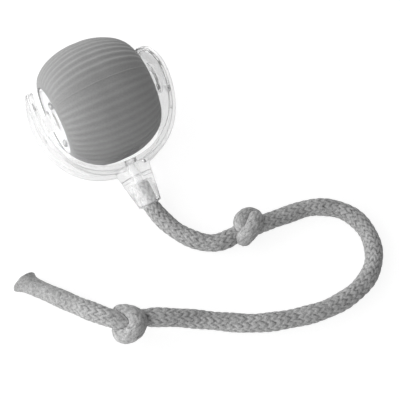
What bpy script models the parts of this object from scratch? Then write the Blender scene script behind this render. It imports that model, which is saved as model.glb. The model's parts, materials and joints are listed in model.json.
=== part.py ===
"""Self rolling cat ball with a clear yoke and a knotted rope tail.

A barrel shaped ball in a ribbed silicone sleeve turns about the X axis between the two ears
of a clear yoke. A motor module hangs inside the ball and drives its ring gear. The yoke ends
in a collar, where a rope socket turns on a pin, and the rope lies on the floor in a wide bend
with two overhand knots.

Metres, +Z up. The floor is z = 0, and the origin lies under the middle of the toy, rope left out.
"""

import math

import bpy
from mathutils import Matrix, Vector

MM = 0.001

# Fits
GAP = 0.3 * MM
CUT_OVERRUN = 1.0 * MM
MERGE_DISTANCE = 0.001 * MM

# Ball: a barrel of revolution about X
BALL_RADIUS = 30.0 * MM
SLEEVE_HALF_WIDTH = 23.9 * MM
SLEEVE_OPENING_RADIUS = 17.2 * MM
SLEEVE_THICKNESS = 2.2 * MM
CONTACT_HALF_WIDTH = 2.5 * MM
SHELL_WALL = 1.6 * MM
JOINING_RING_HALF_WIDTH = 3.0 * MM
JOINING_RING_WALL = 1.2 * MM
PROFILE_LENGTH_POWER = 1.69
PROFILE_RADIUS_POWER = 2.07

# End caps and the bushes in their hubs
CAP_THICKNESS = 1.3 * MM
CAP_RIM_HEIGHT = 0.6 * MM
CAP_RIM_WIDTH = 1.2 * MM
BUSH_WALL = 1.3 * MM
BUSH_LENGTH = 5.4 * MM
HUB_WALL = 1.2 * MM
SCREW_CIRCLE_SHARE = 0.67
CAP_SCREW_COUNT = 3
SCREW_HEAD_RADIUS = 1.9 * MM
SCREW_HEAD_HEIGHT = 1.2 * MM
SCREW_SHANK_RADIUS = 0.9 * MM
SCREW_LENGTH = 3.6 * MM
DRIVER_SLOT_WIDTH = 0.5 * MM
DRIVER_SLOT_DEPTH = 0.5 * MM

# Yoke: a bow round the ball, widened to a round ear at each end of the ball's axis
EAR_CLEARANCE = 6.7 * MM
EAR_WALL = 1.6 * MM
EAR_LIP_HEIGHT = 1.4 * MM
BACK_CLEARANCE = 2.4 * MM
BACK_WALL = 2.2 * MM
BACK_LIP_HEIGHT = 2.5 * MM
YOKE_CURVE_POWER = 2.25
EAR_SHARE = 0.96
STRAP_SHARE = 0.46
BOSS_COLLAR_SHARE = 0.485
LIP_WIDTH = 1.5 * MM
BOSS_WALL = 1.7 * MM
BOSS_COLLAR_HEIGHT = 1.2 * MM
JOURNAL_RADIUS = 2.6 * MM
JOURNAL_GRIP = 3.4 * MM

# Rope socket, its collar on the yoke and the pin between them
COLLAR_LENGTH = 3.6 * MM
SOCKET_TAPER_LENGTH = 7.8 * MM
SOCKET_TIP_LENGTH = 7.0 * MM
SOCKET_WALL = 1.5 * MM
SOCKET_WAIST_SHARE = 1.19
SEAM_SHARE = 1.4
COLLAR_SHARE = 1.52
SOCKET_END_CHAMFER = 0.5 * MM
SOCKET_MOUTH_FLARE = 0.5 * MM
SOCKET_FLOOR = 2.6 * MM
PIN_HEAD_SHARE = 0.67
PIN_SHANK_SHARE = 0.35
PIN_HEAD_HEIGHT = 1.4 * MM

# Drive module that hangs inside the ball
PLATE_THICKNESS = 1.5 * MM
PLATE_WIDTH_SHARE = 0.5
PLATE_END_CLEARANCE = 1.9 * MM
ARM_THICKNESS = 1.5 * MM
ARM_WIDTH_SHARE = 0.43
MODULE_BOSS_RADIUS = 4.5 * MM
MOTOR_WIDTH_SHARE = 0.4
MOTOR_HEIGHT_SHARE = 0.333
MOTOR_LENGTH_SHARE = 0.92
MOTOR_TOP_CLEARANCE = 0.5 * MM
MOTOR_SHAFT_RADIUS = 0.75 * MM
MOTOR_SHAFT_CLEARANCE = 1.0 * MM
CLAMP_THICKNESS = 1.0 * MM
CLAMP_LENGTH = 6.0 * MM
WEIGHT_LENGTH_SHARE = 0.72
WEIGHT_WIDTH_SHARE = 0.2
WEIGHT_HEIGHT_SHARE = 0.267
BATTERY_HEIGHT = 6.0 * MM
BATTERY_SIDE_ROOM = 1.0 * MM
BOARD_WIDTH_SHARE = 0.7
BOARD_END_ROOM = 0.75 * MM
BOARD_THICKNESS = 1.0 * MM
COVER_WALL = 1.2 * MM
USB_LENGTH = 7.3 * MM
USB_WIDTH = 9.0 * MM
USB_HEIGHT = 3.2 * MM
USB_WALL = 0.5 * MM
COVER_HEADROOM = USB_HEIGHT + 2 * GAP
SWITCH_SIDE = 4.5 * MM
SWITCH_HEIGHT = 1.2 * MM
BUTTON_RADIUS = 1.6 * MM
BUTTON_STAND_OUT = 0.8 * MM
BUTTON_TRAVEL = 0.4 * MM
LED_RADIUS = 1.5 * MM
LED_STAND_OUT = 1.0 * MM
SMALL_BEVEL = 0.4 * MM

# Gears
RING_TEETH = 50
PINION_TEETH = 10
RING_GEAR_WALL = 1.7 * MM
RING_GEAR_WIDTH = 3.6 * MM
PINION_WIDTH = 3.0 * MM
ADDENDUM_SHARE = 0.75
DEDENDUM_SHARE = 1.15
TOOTH_ROOT_SHARE = 0.26
TOOTH_TIP_SHARE = 0.13

# Rope, and its knots as shares of the rope's diameter
ROPE_DIAMETER = 8.0 * MM
KNOT_STRAND_SHARE = 0.85
KNOT_RING_SHARE = 0.46
KNOT_WRAP_SHARE = 0.21
KNOT_WRAP_HEIGHT_SHARE = 0.32
KNOT_HALF_LENGTH_SHARE = 1.4
KNOT_LINE_OFFSET_SHARE = 0.28
KNOT_LINE_RISE_SHARE = 0.25
KNOT_LIFT_REACH_SHARE = 3.7
STRAIGHT_END_SHARE = 0.275
ROPE_SPACING_SHARE = 0.8
KNOT_SPACING_SHARE = 0.25
ROUTE_UNIT_SHARE = 0.125

# Facet counts
SLEEVE_STEPS = 48
SLEEVE_OUTER_STEPS = 7
SHELL_OUTER_STEPS = 6
INNER_PROFILE_STEPS = 5
SHELL_STEPS = 32
SMALL_STEPS = 24
SCREW_STEPS = 12
ARC_POINTS = 26
ROPE_BEVEL_STEPS = 2
CURVE_STEPS = 16
SHARP_ANGLE = math.radians(35)

# The yoke's curves: half span along the ball's axis, reach towards the collar
YOKE_INNER_HALF_SPAN = SLEEVE_HALF_WIDTH + EAR_CLEARANCE
YOKE_WEB_HALF_SPAN = YOKE_INNER_HALF_SPAN + EAR_WALL
YOKE_OUTER_HALF_SPAN = YOKE_WEB_HALF_SPAN + EAR_LIP_HEIGHT
YOKE_INNER_REACH = BALL_RADIUS + BACK_CLEARANCE
YOKE_WEB_REACH = YOKE_INNER_REACH + BACK_WALL
YOKE_OUTER_REACH = YOKE_WEB_REACH + BACK_LIP_HEIGHT
EAR_RADIUS = EAR_SHARE * SLEEVE_OPENING_RADIUS
STRAP_HALF_WIDTH = STRAP_SHARE * EAR_RADIUS
BOSS_COLLAR_RADIUS = BOSS_COLLAR_SHARE * EAR_RADIUS
BOSS_RADIUS = JOURNAL_RADIUS + BOSS_WALL

# The socket's reaches and radii, from the yoke and the rope
ROPE_BORE_RADIUS = ROPE_DIAMETER / 2 + GAP
SOCKET_END_RADIUS = ROPE_BORE_RADIUS + SOCKET_WALL
SOCKET_WAIST_RADIUS = SOCKET_WAIST_SHARE * SOCKET_END_RADIUS
SEAM_RADIUS = SEAM_SHARE * SOCKET_END_RADIUS
COLLAR_RADIUS = COLLAR_SHARE * SOCKET_END_RADIUS
CHANNEL_END = COLLAR_RADIUS + GAP
PIN_HEAD_RADIUS = PIN_HEAD_SHARE * ROPE_BORE_RADIUS
PIN_SHANK_RADIUS = PIN_SHANK_SHARE * ROPE_BORE_RADIUS
PIN_SEAT = YOKE_INNER_REACH + PIN_HEAD_HEIGHT + GAP
COLLAR_ROOT_REACH = YOKE_WEB_REACH + GAP
SEAM_REACH = YOKE_OUTER_REACH + COLLAR_LENGTH
SOCKET_TOP = SEAM_REACH + GAP / 2
BORE_END = SOCKET_TOP + SOCKET_FLOOR
PIN_FOOT = BORE_END + GAP
ROPE_END_REACH = PIN_FOOT + PIN_HEAD_HEIGHT / 2 + GAP
SOCKET_WAIST_REACH = SEAM_REACH + SOCKET_TAPER_LENGTH
SOCKET_END_REACH = SOCKET_WAIST_REACH + SOCKET_TIP_LENGTH
SOCKET_TOUCH_REACH = SOCKET_END_REACH - SOCKET_END_CHAMFER

# The frames that parts stand in
YOKE_TILT = (
    math.asin(BALL_RADIUS / math.hypot(SOCKET_TOUCH_REACH, SOCKET_END_RADIUS))
    - math.atan2(SOCKET_END_RADIUS, SOCKET_TOUCH_REACH)
)
TIP_Y = max(
    SOCKET_TOUCH_REACH * math.cos(YOKE_TILT) + SOCKET_END_RADIUS * math.sin(YOKE_TILT),
    SOCKET_END_REACH * math.cos(YOKE_TILT)
    + (SOCKET_END_RADIUS - SOCKET_END_CHAMFER) * math.sin(YOKE_TILT),
)
BALL_CENTRE = Vector((0, (TIP_Y - BALL_RADIUS) / 2, BALL_RADIUS))
BALL_FRAME = Matrix.Translation(BALL_CENTRE)
YOKE_FRAME = BALL_FRAME @ Matrix.Rotation(YOKE_TILT, 4, "X")
CONNECTOR_FRAME = YOKE_FRAME @ Matrix.Rotation(math.radians(90), 4, "X")

# The layers from the sleeve in to the module
SHELL_RADIUS = BALL_RADIUS - SLEEVE_THICKNESS - GAP
SHELL_HALF_WIDTH = SLEEVE_HALF_WIDTH - SLEEVE_THICKNESS - GAP
SHELL_END_RADIUS = SLEEVE_OPENING_RADIUS - GAP
END_WALL_INSIDE = SHELL_HALF_WIDTH - SHELL_WALL
CAP_BACK = SHELL_HALF_WIDTH + GAP
CAP_FACE = CAP_BACK + CAP_THICKNESS
BUSH_BORE_RADIUS = JOURNAL_RADIUS + GAP
BUSH_RADIUS = BUSH_BORE_RADIUS + BUSH_WALL
HUB_BORE_RADIUS = BUSH_RADIUS + GAP
HUB_RADIUS = HUB_BORE_RADIUS + HUB_WALL
BUSH_OUTER_END = CAP_FACE
BUSH_INNER_END = CAP_FACE - BUSH_LENGTH
BOSS_END = CAP_FACE + CAP_RIM_HEIGHT + SCREW_HEAD_HEIGHT
YOKE_JOURNAL_END = BUSH_OUTER_END - JOURNAL_GRIP / 2
MODULE_JOURNAL_END = YOKE_JOURNAL_END - 2 * GAP
CAP_SCREW_CIRCLE_RADIUS = SCREW_CIRCLE_SHARE * SLEEVE_OPENING_RADIUS


def barrel_points(radius, end_radius, half_width, flat_half_width, steps):
    """Quarter profile of the barrel, as (radius, height) from its end to its middle."""
    points = []
    for step in range(steps + 1):
        turn = math.radians(90 * (steps - step) / steps)
        length_share = math.sin(turn) ** (2 / PROFILE_LENGTH_POWER)
        radius_share = max(math.cos(turn), 0) ** (2 / PROFILE_RADIUS_POWER)
        height = flat_half_width + (half_width - flat_half_width) * length_share
        points.append((end_radius + (radius - end_radius) * radius_share, height))
    return points


def shell_inside_points():
    """Quarter profile of the shell's inner skin."""
    return barrel_points(
        SHELL_RADIUS - SHELL_WALL,
        SHELL_END_RADIUS,
        END_WALL_INSIDE,
        CONTACT_HALF_WIDTH,
        INNER_PROFILE_STEPS,
    )


def radius_at(points, height):
    """The radius where a profile's straight facets cross a height."""
    for (radius, high), (next_radius, low) in zip(points, points[1:]):
        if low <= height <= high:
            share = (high - height) / (high - low)
            return radius + (next_radius - radius) * share
    return points[-1][0]


# The gears, from the room inside the shell's end
RING_GEAR_OUTER_FACE = END_WALL_INSIDE - GAP
RING_GEAR_INNER_FACE = RING_GEAR_OUTER_FACE - RING_GEAR_WIDTH
RING_GEAR_RADIUS = (
    radius_at(shell_inside_points(), RING_GEAR_OUTER_FACE) * math.cos(math.pi / SHELL_STEPS)
    - GAP
)
GEAR_MODULE = (RING_GEAR_RADIUS - RING_GEAR_WALL) / (RING_TEETH / 2 + DEDENDUM_SHARE)
PINION_RADIUS = GEAR_MODULE * PINION_TEETH / 2
RING_PITCH_RADIUS = GEAR_MODULE * RING_TEETH / 2
SHAFT_DROP = RING_PITCH_RADIUS - PINION_RADIUS

# The drive module, from the room between the gear and the middle of the ball
PLATE_HALF_LENGTH = RING_GEAR_INNER_FACE - PLATE_END_CLEARANCE
PLATE_HALF_WIDTH = PLATE_WIDTH_SHARE * BALL_RADIUS
ARM_INSIDE = PLATE_HALF_LENGTH - ARM_THICKNESS
MOTOR_WIDTH = MOTOR_WIDTH_SHARE * BALL_RADIUS
ARM_HALF_WIDTH = ARM_WIDTH_SHARE * PLATE_HALF_WIDTH
MOTOR_HEIGHT = MOTOR_HEIGHT_SHARE * BALL_RADIUS
MOTOR_LENGTH = MOTOR_LENGTH_SHARE * 2 * ARM_INSIDE
WEIGHT_LENGTH = WEIGHT_LENGTH_SHARE * 2 * ARM_INSIDE
WEIGHT_WIDTH = WEIGHT_WIDTH_SHARE * BALL_RADIUS
WEIGHT_HEIGHT = WEIGHT_HEIGHT_SHARE * BALL_RADIUS
BOARD_LENGTH = 2 * (ARM_INSIDE - BOARD_END_ROOM)
BOARD_WIDTH = BOARD_WIDTH_SHARE * BALL_RADIUS
BATTERY_LENGTH = BOARD_LENGTH
BATTERY_WIDTH = BOARD_WIDTH - 2 * BATTERY_SIDE_ROOM
PLATE_UNDERSIDE = MOTOR_HEIGHT / 2 - SHAFT_DROP + MOTOR_TOP_CLEARANCE
PLATE_TOP = PLATE_UNDERSIDE + PLATE_THICKNESS
BATTERY_UNDERSIDE = PLATE_TOP + GAP
BOARD_UNDERSIDE = BATTERY_UNDERSIDE + BATTERY_HEIGHT + GAP
BOARD_TOP = BOARD_UNDERSIDE + BOARD_THICKNESS
COVER_INSIDE = BOARD_TOP + COVER_HEADROOM
COVER_TOP = COVER_INSIDE + COVER_WALL
COVER_INNER_HALF_WIDTH = BOARD_WIDTH / 2 + GAP
SWITCH_PLACE = (-ARM_INSIDE / 2, COVER_INNER_HALF_WIDTH / 2)
LED_PLACE = (-ARM_INSIDE / 2, -COVER_INNER_HALF_WIDTH / 2)
USB_PLACE = (ARM_INSIDE / 2, 0)


def clear_scene():
    for old in list(bpy.data.objects):
        bpy.data.objects.remove(old, do_unlink=True)


def new_collection(name):
    collection = bpy.data.collections.new(name)
    bpy.context.scene.collection.children.link(collection)
    return collection


def principled(name, color, roughness, metallic=0.0, transmission=0.0):
    material = bpy.data.materials.new(name)
    material.use_nodes = True
    shader = material.node_tree.nodes["Principled BSDF"]
    shader.inputs["Base Color"].default_value = (*color, 1)
    shader.inputs["Roughness"].default_value = roughness
    shader.inputs["Metallic"].default_value = metallic
    shader.inputs["Transmission Weight"].default_value = transmission
    return material


clear_scene()
PARTS = new_collection("cat_ball")
CUTTERS = new_collection("cutters")

SILICONE = principled("silicone", (0.33, 0.33, 0.34), 0.6)
CLEAR = principled("clear_plastic", (0.94, 0.95, 0.96), 0.08, transmission=0.9)
WHITE = principled("white_plastic", (0.82, 0.82, 0.81), 0.4)
BLACK = principled("black_plastic", (0.05, 0.05, 0.055), 0.45)
STEEL = principled("steel", (0.55, 0.55, 0.56), 0.3, metallic=1.0)
BRASS = principled("brass", (0.72, 0.53, 0.24), 0.35, metallic=1.0)
BOARD = principled("circuit_board", (0.03, 0.22, 0.1), 0.5)
FOIL = principled("battery_wrap", (0.12, 0.3, 0.55), 0.35)
LENS = principled("led_lens", (0.9, 0.2, 0.15), 0.15)
ROPE = principled("cotton_rope", (0.42, 0.42, 0.42), 0.9)


def place(obj, frame, collection):
    """Links the object and stands it at a frame, whose origin becomes its own."""
    collection.objects.link(obj)
    obj.matrix_world = frame
    return obj


def finish(obj, material):
    obj.data.materials.clear()
    obj.data.materials.append(material)
    if obj.type == "MESH":
        obj.data.shade_smooth()
        obj.data.set_sharp_from_angle(angle=SHARP_ANGLE)
    return obj


def mesh_object(name, vertices, edges, faces, frame, collection):
    mesh = bpy.data.meshes.new(name)
    mesh.from_pydata(vertices, edges, faces)
    return place(bpy.data.objects.new(name, mesh), frame, collection)


def evaluated_mesh(obj):
    """Replaces an object's modifiers, or its curve, by the mesh that they make."""
    bpy.context.view_layer.update()
    graph = bpy.context.evaluated_depsgraph_get()
    mesh = bpy.data.meshes.new_from_object(obj.evaluated_get(graph))
    name, frame, collection = obj.name, obj.matrix_world.copy(), obj.users_collection[0]
    bpy.data.objects.remove(obj, do_unlink=True)
    mesh.name = name
    return place(bpy.data.objects.new(name, mesh), frame, collection)


def weld(obj):
    """Merges points that coincide."""
    modifier = obj.modifiers.new("weld", "WELD")
    modifier.merge_threshold = MERGE_DISTANCE
    return evaluated_mesh(obj)


def turned(name, profile, frame, steps, material=None, collection=None, closed=False):
    """Turns (radius, height) points about the frame's Z axis, listed down the outer side."""
    vertices = [(radius, 0, height) for radius, height in profile]
    edges = [(i, i + 1) for i in range(len(profile) - 1)]
    if closed:
        edges.append((len(profile) - 1, 0))
    obj = mesh_object(name, vertices, edges, [], frame, collection or PARTS)
    screw = obj.modifiers.new("turn", "SCREW")
    screw.axis = "Z"
    screw.angle = math.radians(360)
    screw.steps = steps
    screw.render_steps = steps
    screw.use_merge_vertices = True
    screw.merge_threshold = MERGE_DISTANCE
    obj = evaluated_mesh(obj)
    return finish(obj, material) if material else obj


def prism(name, outline, half_depth, frame, material=None, collection=None):
    """A flat outline in the frame's XY plane, as thick as twice half_depth."""
    curve = bpy.data.curves.new(name, "CURVE")
    curve.dimensions = "2D"
    curve.fill_mode = "BOTH"
    curve.extrude = half_depth
    spline = curve.splines.new("POLY")
    spline.points.add(len(outline) - 1)
    for point, (x, y) in zip(spline.points, outline):
        point.co = (x, y, 0, 1)
    spline.use_cyclic_u = True
    obj = place(bpy.data.objects.new(name, curve), frame, collection or PARTS)
    obj = weld(evaluated_mesh(obj))
    return finish(obj, material) if material else obj


def block(name, size, centre, frame, material=None, bevel=0.0, collection=None):
    bpy.ops.mesh.primitive_cube_add(size=1)
    obj = bpy.context.object
    obj.name = name
    for owner in list(obj.users_collection):
        owner.objects.unlink(obj)
    obj.data.transform(Matrix.Diagonal((*size, 1)))
    place(obj, frame @ Matrix.Translation(Vector(centre)), collection or PARTS)
    if bevel:
        modifier = obj.modifiers.new("edges", "BEVEL")
        modifier.width = bevel
        modifier.segments = 2
    return finish(obj, material) if material else obj


def rod(name, radius, low, high, frame, steps=SMALL_STEPS, material=None, collection=None):
    """A plain cylinder along the frame's Z axis from low to high."""
    bpy.ops.mesh.primitive_cylinder_add(vertices=steps, radius=radius, depth=high - low)
    obj = bpy.context.object
    obj.name = name
    for owner in list(obj.users_collection):
        owner.objects.unlink(obj)
    obj.data.transform(Matrix.Translation((0, 0, (low + high) / 2)))
    place(obj, frame, collection or PARTS)
    return finish(obj, material) if material else obj


def combine(obj, other, operation):
    """Applies a Boolean to obj, and leaves the other object out of the model."""
    if other.name not in CUTTERS.objects:
        for owner in list(other.users_collection):
            owner.objects.unlink(other)
        CUTTERS.objects.link(other)
    other.hide_render = True
    other.display_type = "WIRE"
    modifier = obj.modifiers.new(other.name, "BOOLEAN")
    modifier.operation = operation
    modifier.object = other
    modifier.solver = "EXACT"
    return obj


def cut(obj, *tools):
    for tool in tools:
        combine(obj, tool, "DIFFERENCE")
    return obj


def join(obj, *others):
    for other in others:
        combine(obj, other, "UNION")
    return obj


def axial_frame(side, centre=BALL_CENTRE):
    """A frame whose Z axis runs along the ball's axis, out of the given side."""
    return Matrix.Translation(centre) @ Matrix.Rotation(math.radians(90 * side), 4, "Y")


def mirrored(points):
    return [(radius, -height) for radius, height in reversed(points)]


def silicone_sleeve():
    """Both skins of the sleeve. Its flats, not its corners, lie at the ball's radius."""
    outer = barrel_points(
        BALL_RADIUS,
        SLEEVE_OPENING_RADIUS,
        SLEEVE_HALF_WIDTH,
        CONTACT_HALF_WIDTH,
        SLEEVE_OUTER_STEPS,
    )
    inner = barrel_points(
        BALL_RADIUS - SLEEVE_THICKNESS,
        SLEEVE_OPENING_RADIUS,
        SLEEVE_HALF_WIDTH - SLEEVE_THICKNESS,
        CONTACT_HALF_WIDTH,
        INNER_PROFILE_STEPS,
    )
    loop = outer + mirrored(outer) + [(r, h) for r, h in reversed(inner + mirrored(inner))]
    half_step = math.pi / SLEEVE_STEPS
    grown = [(radius / math.cos(half_step), height) for radius, height in loop]
    frame = axial_frame(1) @ Matrix.Rotation(half_step, 4, "Z")
    turned("silicone_sleeve", grown, frame, SLEEVE_STEPS, SILICONE, closed=True)


def shell_half(side_name, side):
    """A cup from the middle of the ball to its end wall, with a hole for the cap's hub."""
    outer = barrel_points(
        SHELL_RADIUS,
        SHELL_END_RADIUS,
        SHELL_HALF_WIDTH,
        CONTACT_HALF_WIDTH,
        SHELL_OUTER_STEPS,
    )
    hole_radius = HUB_RADIUS + GAP
    profile = (
        [(hole_radius, SHELL_HALF_WIDTH)]
        + outer
        + [(SHELL_RADIUS, GAP / 2), (SHELL_RADIUS - SHELL_WALL, GAP / 2)]
        + list(reversed(shell_inside_points()))
        + [(hole_radius, END_WALL_INSIDE)]
    )
    shell = turned(
        f"shell_{side_name}", profile, axial_frame(side), SHELL_STEPS, CLEAR, closed=True
    )
    for number, frame in enumerate(cap_screw_frames(side)):
        hole = rod(
            f"shell_{side_name}_hole_{number}",
            SCREW_SHANK_RADIUS + GAP,
            END_WALL_INSIDE - CUT_OVERRUN,
            SHELL_HALF_WIDTH + CUT_OVERRUN,
            frame,
            SCREW_STEPS,
            collection=CUTTERS,
        )
        cut(shell, hole)


def joining_ring():
    """A band inside the seam of the two shells."""
    outer = SHELL_RADIUS - SHELL_WALL - GAP
    inner = outer - JOINING_RING_WALL
    edge = JOINING_RING_HALF_WIDTH - CONTACT_HALF_WIDTH
    profile = [
        (outer - edge / 2, JOINING_RING_HALF_WIDTH),
        (outer, CONTACT_HALF_WIDTH),
        (outer, -CONTACT_HALF_WIDTH),
        (outer - edge / 2, -JOINING_RING_HALF_WIDTH),
        (inner, -JOINING_RING_HALF_WIDTH),
        (inner, JOINING_RING_HALF_WIDTH),
    ]
    turned("joining_ring", profile, axial_frame(1), SHELL_STEPS, WHITE, closed=True)


def cap_screw_frames(side):
    """Frames along the ball's axis, spaced evenly round the cap's screw circle."""
    frames = []
    for number in range(CAP_SCREW_COUNT):
        turn = Matrix.Rotation(math.radians(360 * number / CAP_SCREW_COUNT), 4, "Z")
        shift = Matrix.Translation((CAP_SCREW_CIRCLE_RADIUS, 0, 0))
        frames.append(axial_frame(side) @ turn @ shift)
    return frames


def end_cap(side_name, side):
    """A clear disc with a raised rim, and a hub that reaches through the shell's end wall."""
    rim_radius = SLEEVE_OPENING_RADIUS - 2 * GAP
    profile = [
        (HUB_BORE_RADIUS, CAP_FACE),
        (rim_radius - CAP_RIM_WIDTH, CAP_FACE),
        (rim_radius - CAP_RIM_WIDTH, CAP_FACE + CAP_RIM_HEIGHT),
        (rim_radius, CAP_FACE + CAP_RIM_HEIGHT),
        (rim_radius, CAP_BACK),
        (HUB_RADIUS, CAP_BACK),
        (HUB_RADIUS, BUSH_INNER_END),
        (HUB_BORE_RADIUS, BUSH_INNER_END),
    ]
    cap = turned(
        f"end_cap_{side_name}", profile, axial_frame(side), SHELL_STEPS, CLEAR, closed=True
    )
    for number, frame in enumerate(cap_screw_frames(side)):
        hole = rod(
            f"end_cap_{side_name}_hole_{number}",
            SCREW_SHANK_RADIUS + GAP,
            CAP_BACK - CUT_OVERRUN,
            CAP_FACE + CUT_OVERRUN,
            frame,
            SCREW_STEPS,
            collection=CUTTERS,
        )
        cut(cap, hole)


def bush(side_name, side):
    profile = [
        (BUSH_RADIUS, BUSH_OUTER_END),
        (BUSH_RADIUS, BUSH_INNER_END),
        (BUSH_BORE_RADIUS, BUSH_INNER_END),
        (BUSH_BORE_RADIUS, BUSH_OUTER_END),
    ]
    turned(f"bush_{side_name}", profile, axial_frame(side), SMALL_STEPS, BRASS, closed=True)


def screw(name, frame, seat, length, material=STEEL):
    """A slotted screw along the frame's Z axis, whose head sits a gap above seat."""
    head_low = seat + GAP
    head_high = head_low + SCREW_HEAD_HEIGHT
    profile = [
        (0, head_high),
        (SCREW_HEAD_RADIUS - SMALL_BEVEL, head_high),
        (SCREW_HEAD_RADIUS, head_high - SMALL_BEVEL),
        (SCREW_HEAD_RADIUS, head_low),
        (SCREW_SHANK_RADIUS, head_low),
        (SCREW_SHANK_RADIUS, head_low - length + SMALL_BEVEL),
        (SCREW_SHANK_RADIUS / 2, head_low - length),
        (0, head_low - length),
    ]
    obj = turned(name, profile, frame, SCREW_STEPS, material)
    slot = block(
        f"{name}_slot",
        (3 * SCREW_HEAD_RADIUS, DRIVER_SLOT_WIDTH, 2 * DRIVER_SLOT_DEPTH),
        (0, 0, head_high),
        frame,
        collection=CUTTERS,
    )
    return cut(obj, slot)


def cap_screws(side_name, side):
    for number, frame in enumerate(cap_screw_frames(side), 1):
        screw(f"cap_screw_{side_name}_{number}", frame, CAP_FACE, SCREW_LENGTH)


def tooth_ring(teeth, tip_radius, root_radius, start_turn):
    """Gear outline as (x, y) points. The first tooth's middle lies at start_turn."""
    pitch = math.radians(360) / teeth
    corners = (
        (-TOOTH_ROOT_SHARE, root_radius),
        (-TOOTH_TIP_SHARE, tip_radius),
        (TOOTH_TIP_SHARE, tip_radius),
        (TOOTH_ROOT_SHARE, root_radius),
    )
    outline = []
    for tooth in range(teeth):
        for share, radius in corners:
            turn = start_turn + pitch * (tooth + share)
            outline.append((radius * math.cos(turn), radius * math.sin(turn)))
    return outline


def ring_gear():
    """Inner teeth beside the right end wall. A gap between two teeth faces the pinion."""
    middle = (RING_GEAR_INNER_FACE + RING_GEAR_OUTER_FACE) / 2
    half_width = RING_GEAR_WIDTH / 2
    frame = axial_frame(1) @ Matrix.Translation((0, 0, middle))
    body = rod(
        "ring_gear", RING_GEAR_RADIUS, -half_width, half_width, frame, SHELL_STEPS, WHITE
    )
    tooth_middle = math.pi / RING_TEETH
    outline = tooth_ring(
        RING_TEETH,
        RING_PITCH_RADIUS - ADDENDUM_SHARE * GEAR_MODULE,
        RING_PITCH_RADIUS + DEDENDUM_SHARE * GEAR_MODULE,
        tooth_middle,
    )
    bore = prism(
        "ring_gear_bore", outline, half_width + CUT_OVERRUN, frame, collection=CUTTERS
    )
    cut(body, bore)


def shaft_frame(reach):
    """A frame on the motor's shaft, along the ball's axis."""
    return axial_frame(1) @ Matrix.Translation((SHAFT_DROP, 0, reach))


def pinion_gear():
    middle = (RING_GEAR_INNER_FACE + RING_GEAR_OUTER_FACE) / 2
    outline = tooth_ring(
        PINION_TEETH,
        PINION_RADIUS + ADDENDUM_SHARE * GEAR_MODULE,
        PINION_RADIUS - DEDENDUM_SHARE * GEAR_MODULE,
        0,
    )
    pinion = prism("pinion_gear", outline, PINION_WIDTH / 2, shaft_frame(middle), BRASS)
    bore = rod(
        "pinion_bore",
        MOTOR_SHAFT_RADIUS + GAP,
        -PINION_WIDTH,
        PINION_WIDTH,
        shaft_frame(middle),
        SCREW_STEPS,
        collection=CUTTERS,
    )
    cut(pinion, bore)


def chassis_frame():
    """A plate with an arm at each end, whose journals run in the bushes."""
    plate = block(
        "chassis_frame",
        (2 * PLATE_HALF_LENGTH, 2 * PLATE_HALF_WIDTH, PLATE_THICKNESS),
        (0, 0, (PLATE_TOP + PLATE_UNDERSIDE) / 2),
        BALL_FRAME,
        BLACK,
    )
    arm_low = -SHAFT_DROP - MOTOR_HEIGHT / 2
    arm_high = MODULE_BOSS_RADIUS
    boss_end = BUSH_INNER_END - GAP
    for side_name, side in (("right", 1), ("left", -1)):
        arm = block(
            f"chassis_arm_{side_name}",
            (ARM_THICKNESS, 2 * ARM_HALF_WIDTH, arm_high - arm_low),
            (side * (ARM_INSIDE + ARM_THICKNESS / 2), 0, (arm_high + arm_low) / 2),
            BALL_FRAME,
        )
        journal = turned(
            f"chassis_journal_{side_name}",
            [
                (0, MODULE_JOURNAL_END),
                (JOURNAL_RADIUS, MODULE_JOURNAL_END),
                (JOURNAL_RADIUS, boss_end),
                (MODULE_BOSS_RADIUS - SMALL_BEVEL, boss_end),
                (MODULE_BOSS_RADIUS - SMALL_BEVEL, ARM_INSIDE + ARM_THICKNESS / 2),
                (0, ARM_INSIDE + ARM_THICKNESS / 2),
            ],
            axial_frame(side),
            SMALL_STEPS,
        )
        join(plate, arm, journal)
    shaft_hole = rod(
        "chassis_shaft_hole",
        MOTOR_SHAFT_RADIUS + MOTOR_SHAFT_CLEARANCE,
        ARM_INSIDE - CUT_OVERRUN,
        PLATE_HALF_LENGTH + CUT_OVERRUN,
        shaft_frame(0),
        SCREW_STEPS,
        collection=CUTTERS,
    )
    cut(plate, shaft_hole)
    for side in (1, -1):
        hole = rod(
            f"chassis_weight_hole_{side}",
            SCREW_SHANK_RADIUS + GAP,
            PLATE_UNDERSIDE - CUT_OVERRUN,
            PLATE_TOP + CUT_OVERRUN,
            weight_frame(side),
            SCREW_STEPS,
            collection=CUTTERS,
        )
        cut(plate, hole)


def motor():
    """Gear motor whose front face meets the right arm, with its shaft through it."""
    front = ARM_INSIDE - GAP
    body = block(
        "gear_motor",
        (MOTOR_LENGTH, MOTOR_WIDTH, MOTOR_HEIGHT),
        (front - MOTOR_LENGTH / 2, 0, -SHAFT_DROP),
        BALL_FRAME,
        STEEL,
    )
    shaft = rod(
        "motor_shaft",
        MOTOR_SHAFT_RADIUS,
        front - CUT_OVERRUN,
        RING_GEAR_OUTER_FACE - GAP,
        shaft_frame(0),
        SCREW_STEPS,
    )
    join(body, shaft)


def motor_clamp():
    """A U shaped strap under the motor, with its two legs up to the plate."""
    inside = MOTOR_WIDTH / 2 + GAP
    outside = inside + CLAMP_THICKNESS
    bottom_inside = -SHAFT_DROP - MOTOR_HEIGHT / 2 - GAP
    bottom = bottom_inside - CLAMP_THICKNESS
    top = PLATE_UNDERSIDE - GAP
    outline = [
        (-outside, top),
        (-outside, bottom),
        (outside, bottom),
        (outside, top),
        (inside, top),
        (inside, bottom_inside),
        (-inside, bottom_inside),
        (-inside, top),
    ]
    prism("motor_clamp", outline, CLAMP_LENGTH / 2, section_frame(), WHITE)


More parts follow.
